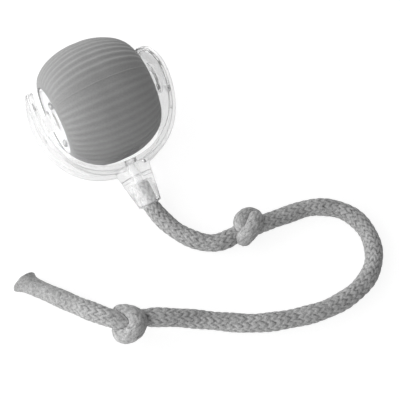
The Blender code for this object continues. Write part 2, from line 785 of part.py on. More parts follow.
def section_frame():
    """A frame on the ball's centre with its XY plane across the ball's axis."""
    return (
        BALL_FRAME
        @ Matrix.Rotation(math.radians(90), 4, "Z")
        @ Matrix.Rotation(math.radians(90), 4, "X")
    )


def weight_frame(side):
    beside_clamp = MOTOR_WIDTH / 2 + CLAMP_THICKNESS + 2 * GAP
    return BALL_FRAME @ Matrix.Translation((0, side * (beside_clamp + WEIGHT_WIDTH / 2), 0))


def counterweight(name, side):
    top = PLATE_UNDERSIDE - GAP
    weight = block(
        f"counterweight_{name}",
        (WEIGHT_LENGTH, WEIGHT_WIDTH, WEIGHT_HEIGHT),
        (0, 0, top - WEIGHT_HEIGHT / 2),
        weight_frame(side),
        STEEL,
    )
    hole = rod(
        f"counterweight_{name}_hole",
        SCREW_SHANK_RADIUS + GAP,
        top - WEIGHT_HEIGHT - CUT_OVERRUN,
        top + CUT_OVERRUN,
        weight_frame(side),
        SCREW_STEPS,
        collection=CUTTERS,
    )
    cut(weight, hole)
    upside_down = weight_frame(side) @ Matrix.Rotation(math.radians(180), 4, "X")
    screw(
        f"weight_screw_{name}",
        upside_down,
        WEIGHT_HEIGHT - top,
        WEIGHT_HEIGHT + PLATE_THICKNESS,
    )


def battery():
    block(
        "battery",
        (BATTERY_LENGTH, BATTERY_WIDTH, BATTERY_HEIGHT),
        (0, 0, BATTERY_UNDERSIDE + BATTERY_HEIGHT / 2),
        BALL_FRAME,
        FOIL,
        SMALL_BEVEL,
    )


def circuit_board():
    block(
        "circuit_board",
        (BOARD_LENGTH, BOARD_WIDTH, BOARD_THICKNESS),
        (0, 0, BOARD_UNDERSIDE + BOARD_THICKNESS / 2),
        BALL_FRAME,
        BOARD,
    )


def usb_socket():
    """Charging socket on the board, open towards the right arm."""
    centre = (*USB_PLACE, BOARD_TOP + GAP + USB_HEIGHT / 2)
    socket = block(
        "charging_socket", (USB_LENGTH, USB_WIDTH, USB_HEIGHT), centre, BALL_FRAME, STEEL
    )
    mouth = block(
        "charging_socket_mouth",
        (USB_LENGTH, USB_WIDTH - 2 * USB_WALL, USB_HEIGHT - 2 * USB_WALL),
        (centre[0] + USB_WALL, centre[1], centre[2]),
        BALL_FRAME,
        collection=CUTTERS,
    )
    cut(socket, mouth)


def tact_switch():
    block(
        "tact_switch",
        (SWITCH_SIDE, SWITCH_SIDE, SWITCH_HEIGHT),
        (*SWITCH_PLACE, BOARD_TOP + GAP + SWITCH_HEIGHT / 2),
        BALL_FRAME,
        BLACK,
    )


def power_button():
    """Stands out of the cover, and presses the switch at the end of its travel."""
    low = BOARD_TOP + GAP + SWITCH_HEIGHT + BUTTON_TRAVEL + GAP
    high = COVER_TOP + BUTTON_STAND_OUT
    profile = [
        (0, high),
        (BUTTON_RADIUS - SMALL_BEVEL, high),
        (BUTTON_RADIUS, high - SMALL_BEVEL),
        (BUTTON_RADIUS, low),
        (0, low),
    ]
    frame = BALL_FRAME @ Matrix.Translation((*SWITCH_PLACE, 0))
    turned("power_button", profile, frame, SCREW_STEPS, WHITE)


def led_lamp():
    low = BOARD_TOP + GAP
    high = COVER_TOP + LED_STAND_OUT
    profile = [
        (0, high),
        (LED_RADIUS / 2, high - SMALL_BEVEL / 2),
        (LED_RADIUS, high - LED_RADIUS / 2),
        (LED_RADIUS, low),
        (0, low),
    ]
    frame = BALL_FRAME @ Matrix.Translation((*LED_PLACE, 0))
    turned("led_lamp", profile, frame, SCREW_STEPS, LENS)


def module_cover():
    """A channel upside down over the battery and board, with holes for button and lamp."""
    inside = COVER_INNER_HALF_WIDTH
    outside = inside + COVER_WALL
    foot = PLATE_TOP + GAP
    outline = [
        (-outside, COVER_TOP),
        (-outside, foot),
        (-inside, foot),
        (-inside, COVER_INSIDE),
        (inside, COVER_INSIDE),
        (inside, foot),
        (outside, foot),
        (outside, COVER_TOP),
    ]
    cover = prism("module_cover", outline, ARM_INSIDE - GAP, section_frame(), WHITE)
    for name, where, radius in (
        ("button", SWITCH_PLACE, BUTTON_RADIUS),
        ("lamp", LED_PLACE, LED_RADIUS),
    ):
        hole = rod(
            f"cover_{name}_hole",
            radius + GAP,
            COVER_INSIDE - CUT_OVERRUN,
            COVER_TOP + CUT_OVERRUN,
            BALL_FRAME @ Matrix.Translation((*where, 0)),
            SMALL_STEPS,
            collection=CUTTERS,
        )
        cut(cover, hole)


def bow_point(half_span, reach, turn):
    """A point of the yoke's curve, at a turn from the ball's axis towards the collar."""
    power = 2 / YOKE_CURVE_POWER
    across = math.copysign(abs(math.cos(turn)) ** power, math.cos(turn))
    along = math.copysign(abs(math.sin(turn)) ** power, math.sin(turn))
    return (half_span * across, -reach * along)


def bow_band(inner, outer, first_turn, last_turn):
    """The strip between two curves of the yoke, each given as (half_span, reach)."""
    turns = [
        first_turn + (last_turn - first_turn) * step / (ARC_POINTS - 1)
        for step in range(ARC_POINTS)
    ]
    there = [bow_point(*outer, turn) for turn in turns]
    back = [bow_point(*inner, turn) for turn in reversed(turns)]
    return there + back


def turn_at_reach(curve, reach):
    """The turn where a curve of the yoke lies at the given reach behind the ball's axis."""
    return -math.asin((reach / curve[1]) ** (YOKE_CURVE_POWER / 2))


def turn_at_span(curve, span):
    return math.acos((span / curve[0]) ** (YOKE_CURVE_POWER / 2))


def ear_plan(ear_radius, strap_half_width, far_end):
    """The yoke seen along the ball's axis: a round ear that tapers to the strap."""
    lean = math.atan2(ear_radius - strap_half_width, far_end)
    first = -lean
    last = math.pi + lean
    outline = [(strap_half_width, -far_end)]
    for step in range(ARC_POINTS):
        turn = first + (last - first) * step / (ARC_POINTS - 1)
        outline.append((ear_radius * math.cos(turn), ear_radius * math.sin(turn)))
    outline.append((-strap_half_width, -far_end))
    return outline


def yoke_side_frame():
    """A frame whose Z axis is the ball's axis, with Y away from the collar."""
    return YOKE_FRAME @ Matrix.Rotation(math.radians(90), 4, "Y")


def yoke():
    """Bow, ears, journals and collar are one clear moulding."""
    inner = (YOKE_INNER_HALF_SPAN, YOKE_INNER_REACH)
    web = (YOKE_WEB_HALF_SPAN, YOKE_WEB_REACH)
    outer = (YOKE_OUTER_HALF_SPAN, YOKE_OUTER_REACH)
    beyond = (YOKE_OUTER_HALF_SPAN + CUT_OVERRUN, YOKE_OUTER_REACH + CUT_OVERRUN)
    ear_turn = turn_at_reach(outer, EAR_RADIUS + CUT_OVERRUN)
    band = bow_band(inner, outer, ear_turn, math.pi - ear_turn)
    bow = prism("yoke", band, EAR_RADIUS + CUT_OVERRUN, YOKE_FRAME, CLEAR)
    plan = prism(
        "yoke_plan",
        ear_plan(EAR_RADIUS, STRAP_HALF_WIDTH, YOKE_OUTER_REACH + CUT_OVERRUN),
        YOKE_OUTER_HALF_SPAN + CUT_OVERRUN,
        yoke_side_frame(),
        collection=CUTTERS,
    )
    combine(bow, plan, "INTERSECT")
    for side_name, flip in (("right", 0), ("left", 180)):
        turned_round = YOKE_FRAME @ Matrix.Rotation(math.radians(flip), 4, "Y")
        channel = prism(
            f"yoke_channel_{side_name}",
            bow_band(web, beyond, ear_turn, turn_at_span(web, CHANNEL_END)),
            EAR_RADIUS + CUT_OVERRUN,
            turned_round,
            collection=CUTTERS,
        )
        inset = prism(
            f"yoke_inset_{side_name}",
            ear_plan(
                EAR_RADIUS - LIP_WIDTH,
                STRAP_HALF_WIDTH - LIP_WIDTH,
                YOKE_OUTER_REACH + CUT_OVERRUN,
            ),
            YOKE_OUTER_HALF_SPAN + 2 * CUT_OVERRUN,
            yoke_side_frame(),
            collection=CUTTERS,
        )
        combine(channel, inset, "INTERSECT")
        cut(bow, channel)
    for side_name, side in (("right", 1), ("left", -1)):
        pivot = turned(
            f"yoke_pivot_{side_name}",
            [
                (0, YOKE_WEB_HALF_SPAN - GAP),
                (BOSS_COLLAR_RADIUS, YOKE_WEB_HALF_SPAN - GAP),
                (BOSS_COLLAR_RADIUS, YOKE_INNER_HALF_SPAN - BOSS_COLLAR_HEIGHT),
                (BOSS_RADIUS, YOKE_INNER_HALF_SPAN - BOSS_COLLAR_HEIGHT),
                (BOSS_RADIUS, BOSS_END),
                (JOURNAL_RADIUS, BOSS_END),
                (JOURNAL_RADIUS, YOKE_JOURNAL_END),
                (0, YOKE_JOURNAL_END),
            ],
            YOKE_FRAME @ Matrix.Rotation(math.radians(90 * side), 4, "Y"),
            SMALL_STEPS,
        )
        join(bow, pivot)
    join(bow, collar())
    pin_pocket = rod(
        "yoke_pin_pocket",
        PIN_HEAD_RADIUS + GAP,
        YOKE_INNER_REACH - CUT_OVERRUN,
        PIN_SEAT,
        CONNECTOR_FRAME,
        SMALL_STEPS,
        collection=CUTTERS,
    )
    pin_hole = rod(
        "yoke_pin_hole",
        PIN_SHANK_RADIUS + GAP,
        YOKE_INNER_REACH - CUT_OVERRUN,
        SEAM_REACH + CUT_OVERRUN,
        CONNECTOR_FRAME,
        SMALL_STEPS,
        collection=CUTTERS,
    )
    cut(bow, pin_pocket, pin_hole)


def collar():
    profile = [
        (0, SEAM_REACH - GAP / 2),
        (SEAM_RADIUS, SEAM_REACH - GAP / 2),
        (COLLAR_RADIUS, YOKE_OUTER_REACH),
        (COLLAR_RADIUS, COLLAR_ROOT_REACH),
        (0, COLLAR_ROOT_REACH),
    ]
    return turned("yoke_collar", profile, CONNECTOR_FRAME, SMALL_STEPS)


def swivel_pin():
    """Headed at both ends: one head sits in the yoke's pocket and one in the socket."""
    head = PIN_SEAT - GAP
    profile = [
        (0, PIN_FOOT + PIN_HEAD_HEIGHT / 2),
        (PIN_HEAD_RADIUS, PIN_FOOT + PIN_HEAD_HEIGHT / 2),
        (PIN_HEAD_RADIUS, PIN_FOOT),
        (PIN_SHANK_RADIUS, PIN_FOOT),
        (PIN_SHANK_RADIUS, head),
        (PIN_HEAD_RADIUS, head),
        (PIN_HEAD_RADIUS, head - PIN_HEAD_HEIGHT),
        (0, head - PIN_HEAD_HEIGHT),
    ]
    turned("swivel_pin", profile, CONNECTOR_FRAME, SMALL_STEPS, CLEAR)


def rope_socket():
    """A tapered cup that holds the rope's end. Its lower rim rests on the floor."""
    hole = PIN_SHANK_RADIUS + GAP
    profile = [
        (ROPE_BORE_RADIUS, SOCKET_END_REACH - 2 * SOCKET_MOUTH_FLARE),
        (ROPE_BORE_RADIUS + SOCKET_MOUTH_FLARE, SOCKET_END_REACH),
        (SOCKET_END_RADIUS - SOCKET_END_CHAMFER, SOCKET_END_REACH),
        (SOCKET_END_RADIUS, SOCKET_TOUCH_REACH),
        (SOCKET_WAIST_RADIUS, SOCKET_WAIST_REACH),
        (SEAM_RADIUS, SOCKET_TOP),
        (hole, SOCKET_TOP),
        (hole, BORE_END),
        (ROPE_BORE_RADIUS, BORE_END),
    ]
    turned("rope_socket", profile, CONNECTOR_FRAME, SHELL_STEPS, CLEAR, closed=True)


# The rope's route over the floor, as (x, y) from the socket's mouth in eighths of its diameter
LEAD_ROUTE = (
    (0.6, -6.9), (1.6, -12.4), (3.4, -18.4), (6.4, -24.4), (10.6, -29.8), (15.1, -34.2),
)
LOOP_ROUTE = (
    (55.9, -38.0), (63.4, -38.6), (69.8, -41.4), (75.8, -45.8), (80.4, -52.0),
    (82.0, -59.8), (80.9, -68.4), (76.6, -77.0), (69.4, -83.4), (60.2, -87.0),
    (50.4, -88.2), (40.2, -87.6), (30.0, -85.0), (20.0, -81.6), (10.0, -77.2),
    (0.8, -71.0), (-8.0, -64.6), (-16.4, -60.1),
)
TAIL_ROUTE = (
    (-55.7, -27.0), (-58.9, -22.2), (-62.2, -17.6), (-65.5, -13.0),
    (-69.2, -7.2),
)
# Each knot's middle on the rope's line, and the heading of that line in degrees
KNOT_NEAR_PLACE = (33.2, -37.0)
KNOT_NEAR_HEADING = 4.0
KNOT_FAR_PLACE = (-36.6, -50.0)
KNOT_FAR_HEADING = 145.0
# How far each knot is rolled about the rope's line, in degrees
KNOT_NEAR_ROLL = 78.0
KNOT_FAR_ROLL = 325.0

KNOT_WRAPS = 3
KNOT_TURNS = 2
KNOT_ENTRY_TURN = 0.44
KNOT_RING_POINTS = 30

ROUTE_UNIT = ROUTE_UNIT_SHARE * ROPE_DIAMETER
KNOT_STRAND_DIAMETER = KNOT_STRAND_SHARE * ROPE_DIAMETER
KNOT_RING_RADIUS = KNOT_RING_SHARE * ROPE_DIAMETER
KNOT_WRAP_RADIUS = KNOT_WRAP_SHARE * ROPE_DIAMETER
KNOT_WRAP_HEIGHT = KNOT_WRAP_HEIGHT_SHARE * ROPE_DIAMETER
KNOT_HALF_LENGTH = KNOT_HALF_LENGTH_SHARE * ROPE_DIAMETER
KNOT_LINE_OFFSET = KNOT_LINE_OFFSET_SHARE * ROPE_DIAMETER
KNOT_LINE_RISE = KNOT_LINE_RISE_SHARE * ROPE_DIAMETER
KNOT_LIFT_REACH = KNOT_LIFT_REACH_SHARE * ROPE_DIAMETER
STRAIGHT_END = STRAIGHT_END_SHARE * ROPE_DIAMETER
ROPE_POINT_SPACING = ROPE_SPACING_SHARE * ROPE_DIAMETER
KNOT_POINT_SPACING = KNOT_SPACING_SHARE * ROPE_DIAMETER
MOUTH_Y = (CONNECTOR_FRAME @ Vector((0, 0, SOCKET_END_REACH))).y


def spline_through(points, spacing):
    """Points every so far along a smooth curve through the given ones, ends included."""
    guide = [2 * points[0] - points[1], *points, 2 * points[-1] - points[-2]]
    dense = []
    for i in range(1, len(guide) - 2):
        before, start, end, after = guide[i - 1 : i + 3]
        for step in range(CURVE_STEPS):
            t = step / CURVE_STEPS
            dense.append(
                0.5
                * (
                    2 * start
                    + (end - before) * t
                    + (2 * before - 5 * start + 4 * end - after) * t**2
                    + (3 * start - before - 3 * end + after) * t**3
                )
            )
    dense.append(guide[-2])
    lengths = [0.0]
    for a, b in zip(dense, dense[1:]):
        lengths.append(lengths[-1] + (b - a).length)
    count = max(2, round(lengths[-1] / spacing))
    spaced = []
    for number in range(count + 1):
        want = lengths[-1] * number / count
        index = max(i for i in range(len(dense) - 1) if lengths[i] <= want)
        share = (want - lengths[index]) / (lengths[index + 1] - lengths[index])
        spaced.append(dense[index].lerp(dense[index + 1], share))
    return spaced


def rope_tube(name, points, radii):
    curve = bpy.data.curves.new(name, "CURVE")
    curve.dimensions = "3D"
    curve.bevel_depth = ROPE_DIAMETER / 2
    curve.bevel_resolution = ROPE_BEVEL_STEPS
    curve.use_fill_caps = True
    spline = curve.splines.new("POLY")
    spline.points.add(len(points) - 1)
    for point, place_, radius in zip(spline.points, points, radii):
        point.co = (*place_, 1)
        point.radius = radius / (ROPE_DIAMETER / 2)
    obj = place(bpy.data.objects.new(name, curve), Matrix.Identity(4), PARTS)
    return finish(obj, ROPE)


def on_route(place, height):
    x, y = place
    return Vector((x * ROUTE_UNIT, MOUTH_Y + y * ROUTE_UNIT, height))


def on_floor(places, knots):
    """The rope's centre over the floor, lifted where it nears a knot."""
    points = []
    for where in places:
        point = on_route(where, ROPE_DIAMETER / 2)
        for knot in knots:
            centre = knot.translation
            distance = (centre.xy - point.xy).length
            share = max(KNOT_LIFT_REACH - distance, 0) / (KNOT_LIFT_REACH - KNOT_HALF_LENGTH)
            share = min(share, 1)
            point.z += (centre.z - ROPE_DIAMETER / 2) * share**2 * (3 - 2 * share)
        points.append(point)
    return points


def knot_line():
    """A knot's centre: two turns round a ring and three wraps, out past the start.

    The rope's own line is the X axis, and the ring lies beside it.
    """
    offset = KNOT_RING_RADIUS + KNOT_WRAP_RADIUS
    last_turn = 2 * math.pi - KNOT_ENTRY_TURN
    straight = KNOT_HALF_LENGTH - STRAIGHT_END
    halfway = -(offset + KNOT_LINE_OFFSET) / 2
    ring = Vector((0, KNOT_LINE_OFFSET, -KNOT_LINE_RISE))
    points = [
        Vector((-straight, 0, 0)),
        ring + Vector((-KNOT_RING_RADIUS, halfway, -KNOT_WRAP_HEIGHT)),
        ring + Vector((0, -offset, -KNOT_WRAP_HEIGHT)),
    ]
    for step in range(KNOT_RING_POINTS + 1):
        turn = KNOT_ENTRY_TURN + (last_turn - KNOT_ENTRY_TURN) * step / KNOT_RING_POINTS
        out = KNOT_RING_RADIUS + KNOT_WRAP_RADIUS * math.cos(KNOT_WRAPS * turn)
        along = out * math.sin(KNOT_TURNS * turn)
        across = -out * math.cos(KNOT_TURNS * turn)
        rise = -KNOT_WRAP_HEIGHT * math.sin(KNOT_WRAPS * turn)
        points.append(ring + Vector((along, across, rise)))
    points += [
        ring + Vector((0, -offset, KNOT_WRAP_HEIGHT)),
        ring + Vector((KNOT_RING_RADIUS, halfway, KNOT_WRAP_HEIGHT)),
        Vector((straight, 0, 0)),
    ]
    return spline_through(points, KNOT_POINT_SPACING)


def knot_frame(where, heading, roll):
    """A frame in the middle of a knot that lies on the floor, with X along the rope."""
    turn = Matrix.Rotation(math.radians(heading), 4, "Z")
    turn = turn @ Matrix.Rotation(math.radians(roll), 4, "X")
    lowest = min((turn @ point).z for point in knot_line())
    return Matrix.Translation(on_route(where, KNOT_STRAND_DIAMETER / 2 - lowest)) @ turn


def overhand_knot(name, frame):
    """The pressed strands of a knot as one body, with its middle filled."""
    strand = KNOT_STRAND_DIAMETER / 2
    smooth = knot_line()
    thick = [ROPE_DIAMETER / 2, ROPE_DIAMETER / 2]
    radii = thick + [strand] * (len(smooth) - 2) + thick
    ends = [Vector((side * KNOT_HALF_LENGTH, 0, 0)) for side in (-1, 1)]
    points = [frame @ point for point in [ends[0], *smooth, ends[1]]]
    tube = weld(evaluated_mesh(rope_tube(name, points, radii)))
    core = rod(
        f"{name}_core",
        KNOT_WRAP_RADIUS,
        -KNOT_WRAP_HEIGHT,
        KNOT_WRAP_HEIGHT,
        frame @ Matrix.Translation((0, KNOT_LINE_OFFSET, -KNOT_LINE_RISE)),
        SCREW_STEPS,
    )
    join(tube, core)
    tube.modifiers[-1].use_self = True
    return finish(tube, ROPE)


def rope_stretch(name, start, route, end):
    """A tube along a smooth route, with straight pieces to the points before and after it."""
    smooth = spline_through(route, ROPE_POINT_SPACING)
    half = ROPE_DIAMETER / 2
    for point in smooth:
        point.z = max(point.z, half)
    points = start + smooth + end
    rope_tube(name, points, [half] * len(points))


def rope():
    """The lead out of the socket, the wide bend between the knots and the free tail."""
    near = knot_frame(KNOT_NEAR_PLACE, KNOT_NEAR_HEADING, KNOT_NEAR_ROLL)
    far = knot_frame(KNOT_FAR_PLACE, KNOT_FAR_HEADING, KNOT_FAR_ROLL)
    knots = (near, far)
    face = Vector((KNOT_HALF_LENGTH + GAP, 0, 0))
    bend = Vector((KNOT_HALF_LENGTH + GAP + STRAIGHT_END, 0, 0))
    root = CONNECTOR_FRAME @ Vector((0, 0, ROPE_END_REACH))
    mouth = CONNECTOR_FRAME @ Vector((0, 0, SOCKET_END_REACH + SOCKET_MOUTH_FLARE))
    rope_stretch(
        "rope_lead",
        [root],
        [mouth, *on_floor(LEAD_ROUTE, knots), near @ -bend],
        [near @ -face],
    )
    rope_stretch(
        "rope_loop",
        [near @ face],
        [near @ bend, *on_floor(LOOP_ROUTE, knots), far @ -bend],
        [far @ -face],
    )
    rope_stretch(
        "rope_tail",
        [far @ face],
        [far @ bend, *on_floor(TAIL_ROUTE, knots)],
        [],
    )
    overhand_knot("knot_near", near)
    overhand_knot("knot_far", far)


def build():
    silicone_sleeve()
    joining_ring()
    for side_name, side in (("right", 1), ("left", -1)):
        shell_half(side_name, side)
        end_cap(side_name, side)
        bush(side_name, side)
        cap_screws(side_name, side)
    ring_gear()
    chassis_frame()
    motor()
    motor_clamp()
    for name, side in (("front", -1), ("back", 1)):
        counterweight(name, side)
    battery()
    circuit_board()
    usb_socket()
    tact_switch()
    power_button()
    led_lamp()
    module_cover()
    pinion_gear()
    yoke()
    swivel_pin()
    rope_socket()
    rope()


build()
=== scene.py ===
"""Looks of the self rolling cat ball: camera, rope, sleeve, clear plastic and soft light.

Metres, +Z up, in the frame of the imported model. The rope is the first piece made, then the
ribbed sleeve and the clear pieces, then the finish of every part carried over from the model.
"""

import json
from math import asin, atan2, cos, exp, hypot, pi, radians, sin, sqrt

import bmesh
import bpy
import numpy as np
from mathutils import Matrix, Vector

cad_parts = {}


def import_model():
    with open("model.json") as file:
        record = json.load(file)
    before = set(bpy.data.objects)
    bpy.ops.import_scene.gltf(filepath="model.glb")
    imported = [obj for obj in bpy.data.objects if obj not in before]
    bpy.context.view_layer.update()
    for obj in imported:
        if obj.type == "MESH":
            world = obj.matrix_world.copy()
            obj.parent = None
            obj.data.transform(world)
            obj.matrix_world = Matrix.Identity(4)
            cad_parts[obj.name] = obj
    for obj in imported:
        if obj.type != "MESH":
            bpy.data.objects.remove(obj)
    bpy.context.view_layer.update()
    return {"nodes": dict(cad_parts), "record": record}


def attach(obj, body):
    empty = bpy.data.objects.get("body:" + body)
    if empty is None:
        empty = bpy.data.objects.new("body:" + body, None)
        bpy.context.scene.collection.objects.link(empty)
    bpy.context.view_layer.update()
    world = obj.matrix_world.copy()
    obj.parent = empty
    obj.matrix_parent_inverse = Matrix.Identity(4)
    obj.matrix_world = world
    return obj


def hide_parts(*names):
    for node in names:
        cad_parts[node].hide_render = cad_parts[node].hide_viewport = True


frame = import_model()

MM = 0.001
GAP = 0.3 * MM
QUARTER_TURN = radians(90)

# Sizes repeated from the model: ball and sleeve
BALL_RADIUS = 30.0 * MM
SLEEVE_HALF_WIDTH = 23.9 * MM
SLEEVE_OPENING_RADIUS = 17.2 * MM
SLEEVE_THICKNESS = 2.2 * MM
CONTACT_HALF_WIDTH = 2.5 * MM
PROFILE_LENGTH_POWER = 1.69
PROFILE_RADIUS_POWER = 2.07

# End caps and bushes
CAP_THICKNESS = 1.3 * MM
CAP_RIM_HEIGHT = 0.6 * MM
CAP_RIM_WIDTH = 1.2 * MM
BUSH_WALL = 1.3 * MM
BUSH_LENGTH = 5.4 * MM
HUB_WALL = 1.2 * MM
CAP_SCREW_COUNT = 3
SCREW_HEAD_HEIGHT = 1.2 * MM
SCREW_SHANK_RADIUS = 0.9 * MM

# Yoke
EAR_CLEARANCE = 6.7 * MM
EAR_WALL = 1.6 * MM
EAR_LIP_HEIGHT = 1.4 * MM
BACK_CLEARANCE = 2.4 * MM
BACK_WALL = 2.2 * MM
BACK_LIP_HEIGHT = 2.5 * MM
YOKE_CURVE_POWER = 2.25
LIP_WIDTH = 1.5 * MM
BOSS_WALL = 1.7 * MM
BOSS_COLLAR_HEIGHT = 1.2 * MM
JOURNAL_RADIUS = 2.6 * MM
JOURNAL_GRIP = 3.4 * MM

# Rope socket and pin
COLLAR_LENGTH = 3.6 * MM
SOCKET_TAPER_LENGTH = 7.8 * MM
SOCKET_TIP_LENGTH = 7.0 * MM
SOCKET_WALL = 1.5 * MM
SOCKET_END_CHAMFER = 0.5 * MM
SOCKET_MOUTH_FLARE = 0.5 * MM
SOCKET_FLOOR = 2.6 * MM
PIN_HEAD_HEIGHT = 1.4 * MM

# Rope
ROPE_DIAMETER = 8.0 * MM
KNOT_STRAND_SHARE = 0.85

# Sizes worked out from those above, as in the model
YOKE_INNER_HALF_SPAN = SLEEVE_HALF_WIDTH + EAR_CLEARANCE
YOKE_WEB_HALF_SPAN = YOKE_INNER_HALF_SPAN + EAR_WALL
YOKE_OUTER_HALF_SPAN = YOKE_WEB_HALF_SPAN + EAR_LIP_HEIGHT
YOKE_INNER_REACH = BALL_RADIUS + BACK_CLEARANCE
YOKE_WEB_REACH = YOKE_INNER_REACH + BACK_WALL
YOKE_OUTER_REACH = YOKE_WEB_REACH + BACK_LIP_HEIGHT
EAR_RADIUS = 0.96 * SLEEVE_OPENING_RADIUS
STRAP_HALF_WIDTH = 0.46 * EAR_RADIUS
BOSS_COLLAR_RADIUS = 0.485 * EAR_RADIUS
BOSS_RADIUS = JOURNAL_RADIUS + BOSS_WALL
CAP_BACK = SLEEVE_HALF_WIDTH - SLEEVE_THICKNESS
CAP_FACE = CAP_BACK + CAP_THICKNESS
CAP_RIM_RADIUS = SLEEVE_OPENING_RADIUS - 2 * GAP
CAP_SCREW_CIRCLE_RADIUS = 0.67 * SLEEVE_OPENING_RADIUS
BUSH_INNER_END = CAP_FACE - BUSH_LENGTH
HUB_BORE_RADIUS = JOURNAL_RADIUS + GAP + BUSH_WALL + GAP
HUB_RADIUS = HUB_BORE_RADIUS + HUB_WALL
BOSS_END = CAP_FACE + CAP_RIM_HEIGHT + SCREW_HEAD_HEIGHT
YOKE_JOURNAL_END = CAP_FACE - JOURNAL_GRIP / 2
ROPE_RADIUS = ROPE_DIAMETER / 2
ROPE_BORE_RADIUS = ROPE_RADIUS + GAP
SOCKET_END_RADIUS = ROPE_BORE_RADIUS + SOCKET_WALL
SOCKET_WAIST_RADIUS = 1.19 * SOCKET_END_RADIUS
SEAM_RADIUS = 1.4 * SOCKET_END_RADIUS
COLLAR_RADIUS = 1.52 * SOCKET_END_RADIUS
PIN_HEAD_RADIUS = 0.67 * ROPE_BORE_RADIUS
PIN_SHANK_RADIUS = 0.35 * ROPE_BORE_RADIUS
PIN_SEAT = YOKE_INNER_REACH + PIN_HEAD_HEIGHT + GAP
COLLAR_ROOT_REACH = YOKE_WEB_REACH + GAP
SEAM_REACH = YOKE_OUTER_REACH + COLLAR_LENGTH
SOCKET_TOP = SEAM_REACH + GAP / 2
BORE_END = SOCKET_TOP + SOCKET_FLOOR
PIN_FOOT = BORE_END + GAP
ROPE_END_REACH = PIN_FOOT + PIN_HEAD_HEIGHT / 2 + GAP
SOCKET_WAIST_REACH = SEAM_REACH + SOCKET_TAPER_LENGTH
SOCKET_END_REACH = SOCKET_WAIST_REACH + SOCKET_TIP_LENGTH
SOCKET_TOUCH_REACH = SOCKET_END_REACH - SOCKET_END_CHAMFER

# Frames that the pieces stand in
YOKE_TILT = (
    asin(BALL_RADIUS / hypot(SOCKET_TOUCH_REACH, SOCKET_END_RADIUS))
    - atan2(SOCKET_END_RADIUS, SOCKET_TOUCH_REACH)
)
TIP_Y = max(
    SOCKET_TOUCH_REACH * cos(YOKE_TILT) + SOCKET_END_RADIUS * sin(YOKE_TILT),
    SOCKET_END_REACH * cos(YOKE_TILT)
    + (SOCKET_END_RADIUS - SOCKET_END_CHAMFER) * sin(YOKE_TILT),
)
BALL_CENTRE = Vector((0, (TIP_Y - BALL_RADIUS) / 2, BALL_RADIUS))
BALL_FRAME = Matrix.Translation(BALL_CENTRE)
YOKE_FRAME = BALL_FRAME @ Matrix.Rotation(YOKE_TILT, 4, "X")
CONNECTOR_FRAME = YOKE_FRAME @ Matrix.Rotation(QUARTER_TURN, 4, "X")
MOUTH = CONNECTOR_FRAME @ Vector((0, 0, SOCKET_END_REACH))

# Camera: where the ball's centre lies in the photograph, and the scale there
IMAGE_SIDE = 400
FOCAL_LENGTH_PIXELS = 800
SENSOR_WIDTH = 36
PIXEL_SIZE = 0.4839 * MM
NEAREST_SEEN = 1.0 * MM
BALL_PIXEL = (99.2, 102.0)
CAMERA_ELEVATION = radians(57.5)
CAMERA_AZIMUTH = radians(-30.3)

# The rope's route over the floor, as (x, y) from the socket's mouth in eighths of its diameter
LEAD_ROUTE = (
    (0.6, -6.9), (1.6, -12.4), (3.4, -18.4), (6.4, -24.4), (10.6, -29.8), (15.1, -34.2),
)
LOOP_ROUTE = (
    (55.9, -38.0), (63.4, -38.6), (69.8, -41.4), (75.8, -45.8), (80.4, -52.0),
    (82.0, -59.8), (80.9, -68.4), (76.6, -77.0), (69.4, -83.4), (60.2, -87.0),
    (50.4, -88.2), (40.2, -87.6), (30.0, -85.0), (20.0, -81.6), (10.0, -77.2),
    (0.8, -71.0), (-8.0, -64.6), (-16.4, -60.1),
)
TAIL_ROUTE = (
    (-55.7, -27.0), (-58.9, -22.2), (-62.2, -17.6), (-65.5, -13.0),
    (-69.2, -7.2),
)
# Each knot's middle on the rope's line, the heading of that line and the knot's roll about it
# in degrees, and how far the tight knot is stretched along the line and across it
NEAR_KNOT = {"middle": (33.2, -37.0), "heading": 4, "roll": 78, "along": 1.3, "across": 0.64}
FAR_KNOT = {"middle": (-36.6, -50.0), "heading": 145, "roll": 325, "along": 1.08, "across": 0.84}

KNOT_WRAPS = 3
KNOT_TURNS = 2
KNOT_ENTRY_TURN = 0.44
KNOT_RING_POINTS = 30
CURVE_STEPS = 16

ROUTE_UNIT = 0.125 * ROPE_DIAMETER
KNOT_RING_RADIUS = 0.46 * ROPE_DIAMETER
KNOT_WRAP_RADIUS = 0.21 * ROPE_DIAMETER
KNOT_WRAP_HEIGHT = 0.32 * ROPE_DIAMETER
KNOT_HALF_LENGTH = 1.4 * ROPE_DIAMETER
KNOT_LINE_OFFSET = 0.28 * ROPE_DIAMETER
KNOT_LINE_RISE = 0.25 * ROPE_DIAMETER
KNOT_LIFT_REACH = 3.7 * ROPE_DIAMETER
STRAIGHT_END = 0.275 * ROPE_DIAMETER

# How a knot is drawn tight, and how its strands press on each other
KNOT_STEP = 0.8 * MM
KNOT_CONTACT = 5.2 * MM
NO_DISTANCE = 0.001 * MM
KNOT_STRANGER_LENGTH = 7.2 * MM
KNOT_LEAD = 30.0 * MM
KNOT_PULL = 0.03 * MM
KNOT_PULL_ROUNDS = 1000
KNOT_REST_ROUNDS = 400
KNOT_LENGTH_ROUNDS = 10
BENDING_SHARE = 0.3
PUSH_SHARE = 0.6
SMOOTHING_ROUNDS = 80
SMOOTHING_DEPTH = 5.0 * MM
KNOT_PRESS_LENGTH = 7.0 * MM
KNOT_PRESS_GAP = 0.06 * MM
KNOT_PRESS_SLACK = 1.0 * MM
KNOT_RADIUS_SHARE = 0.95

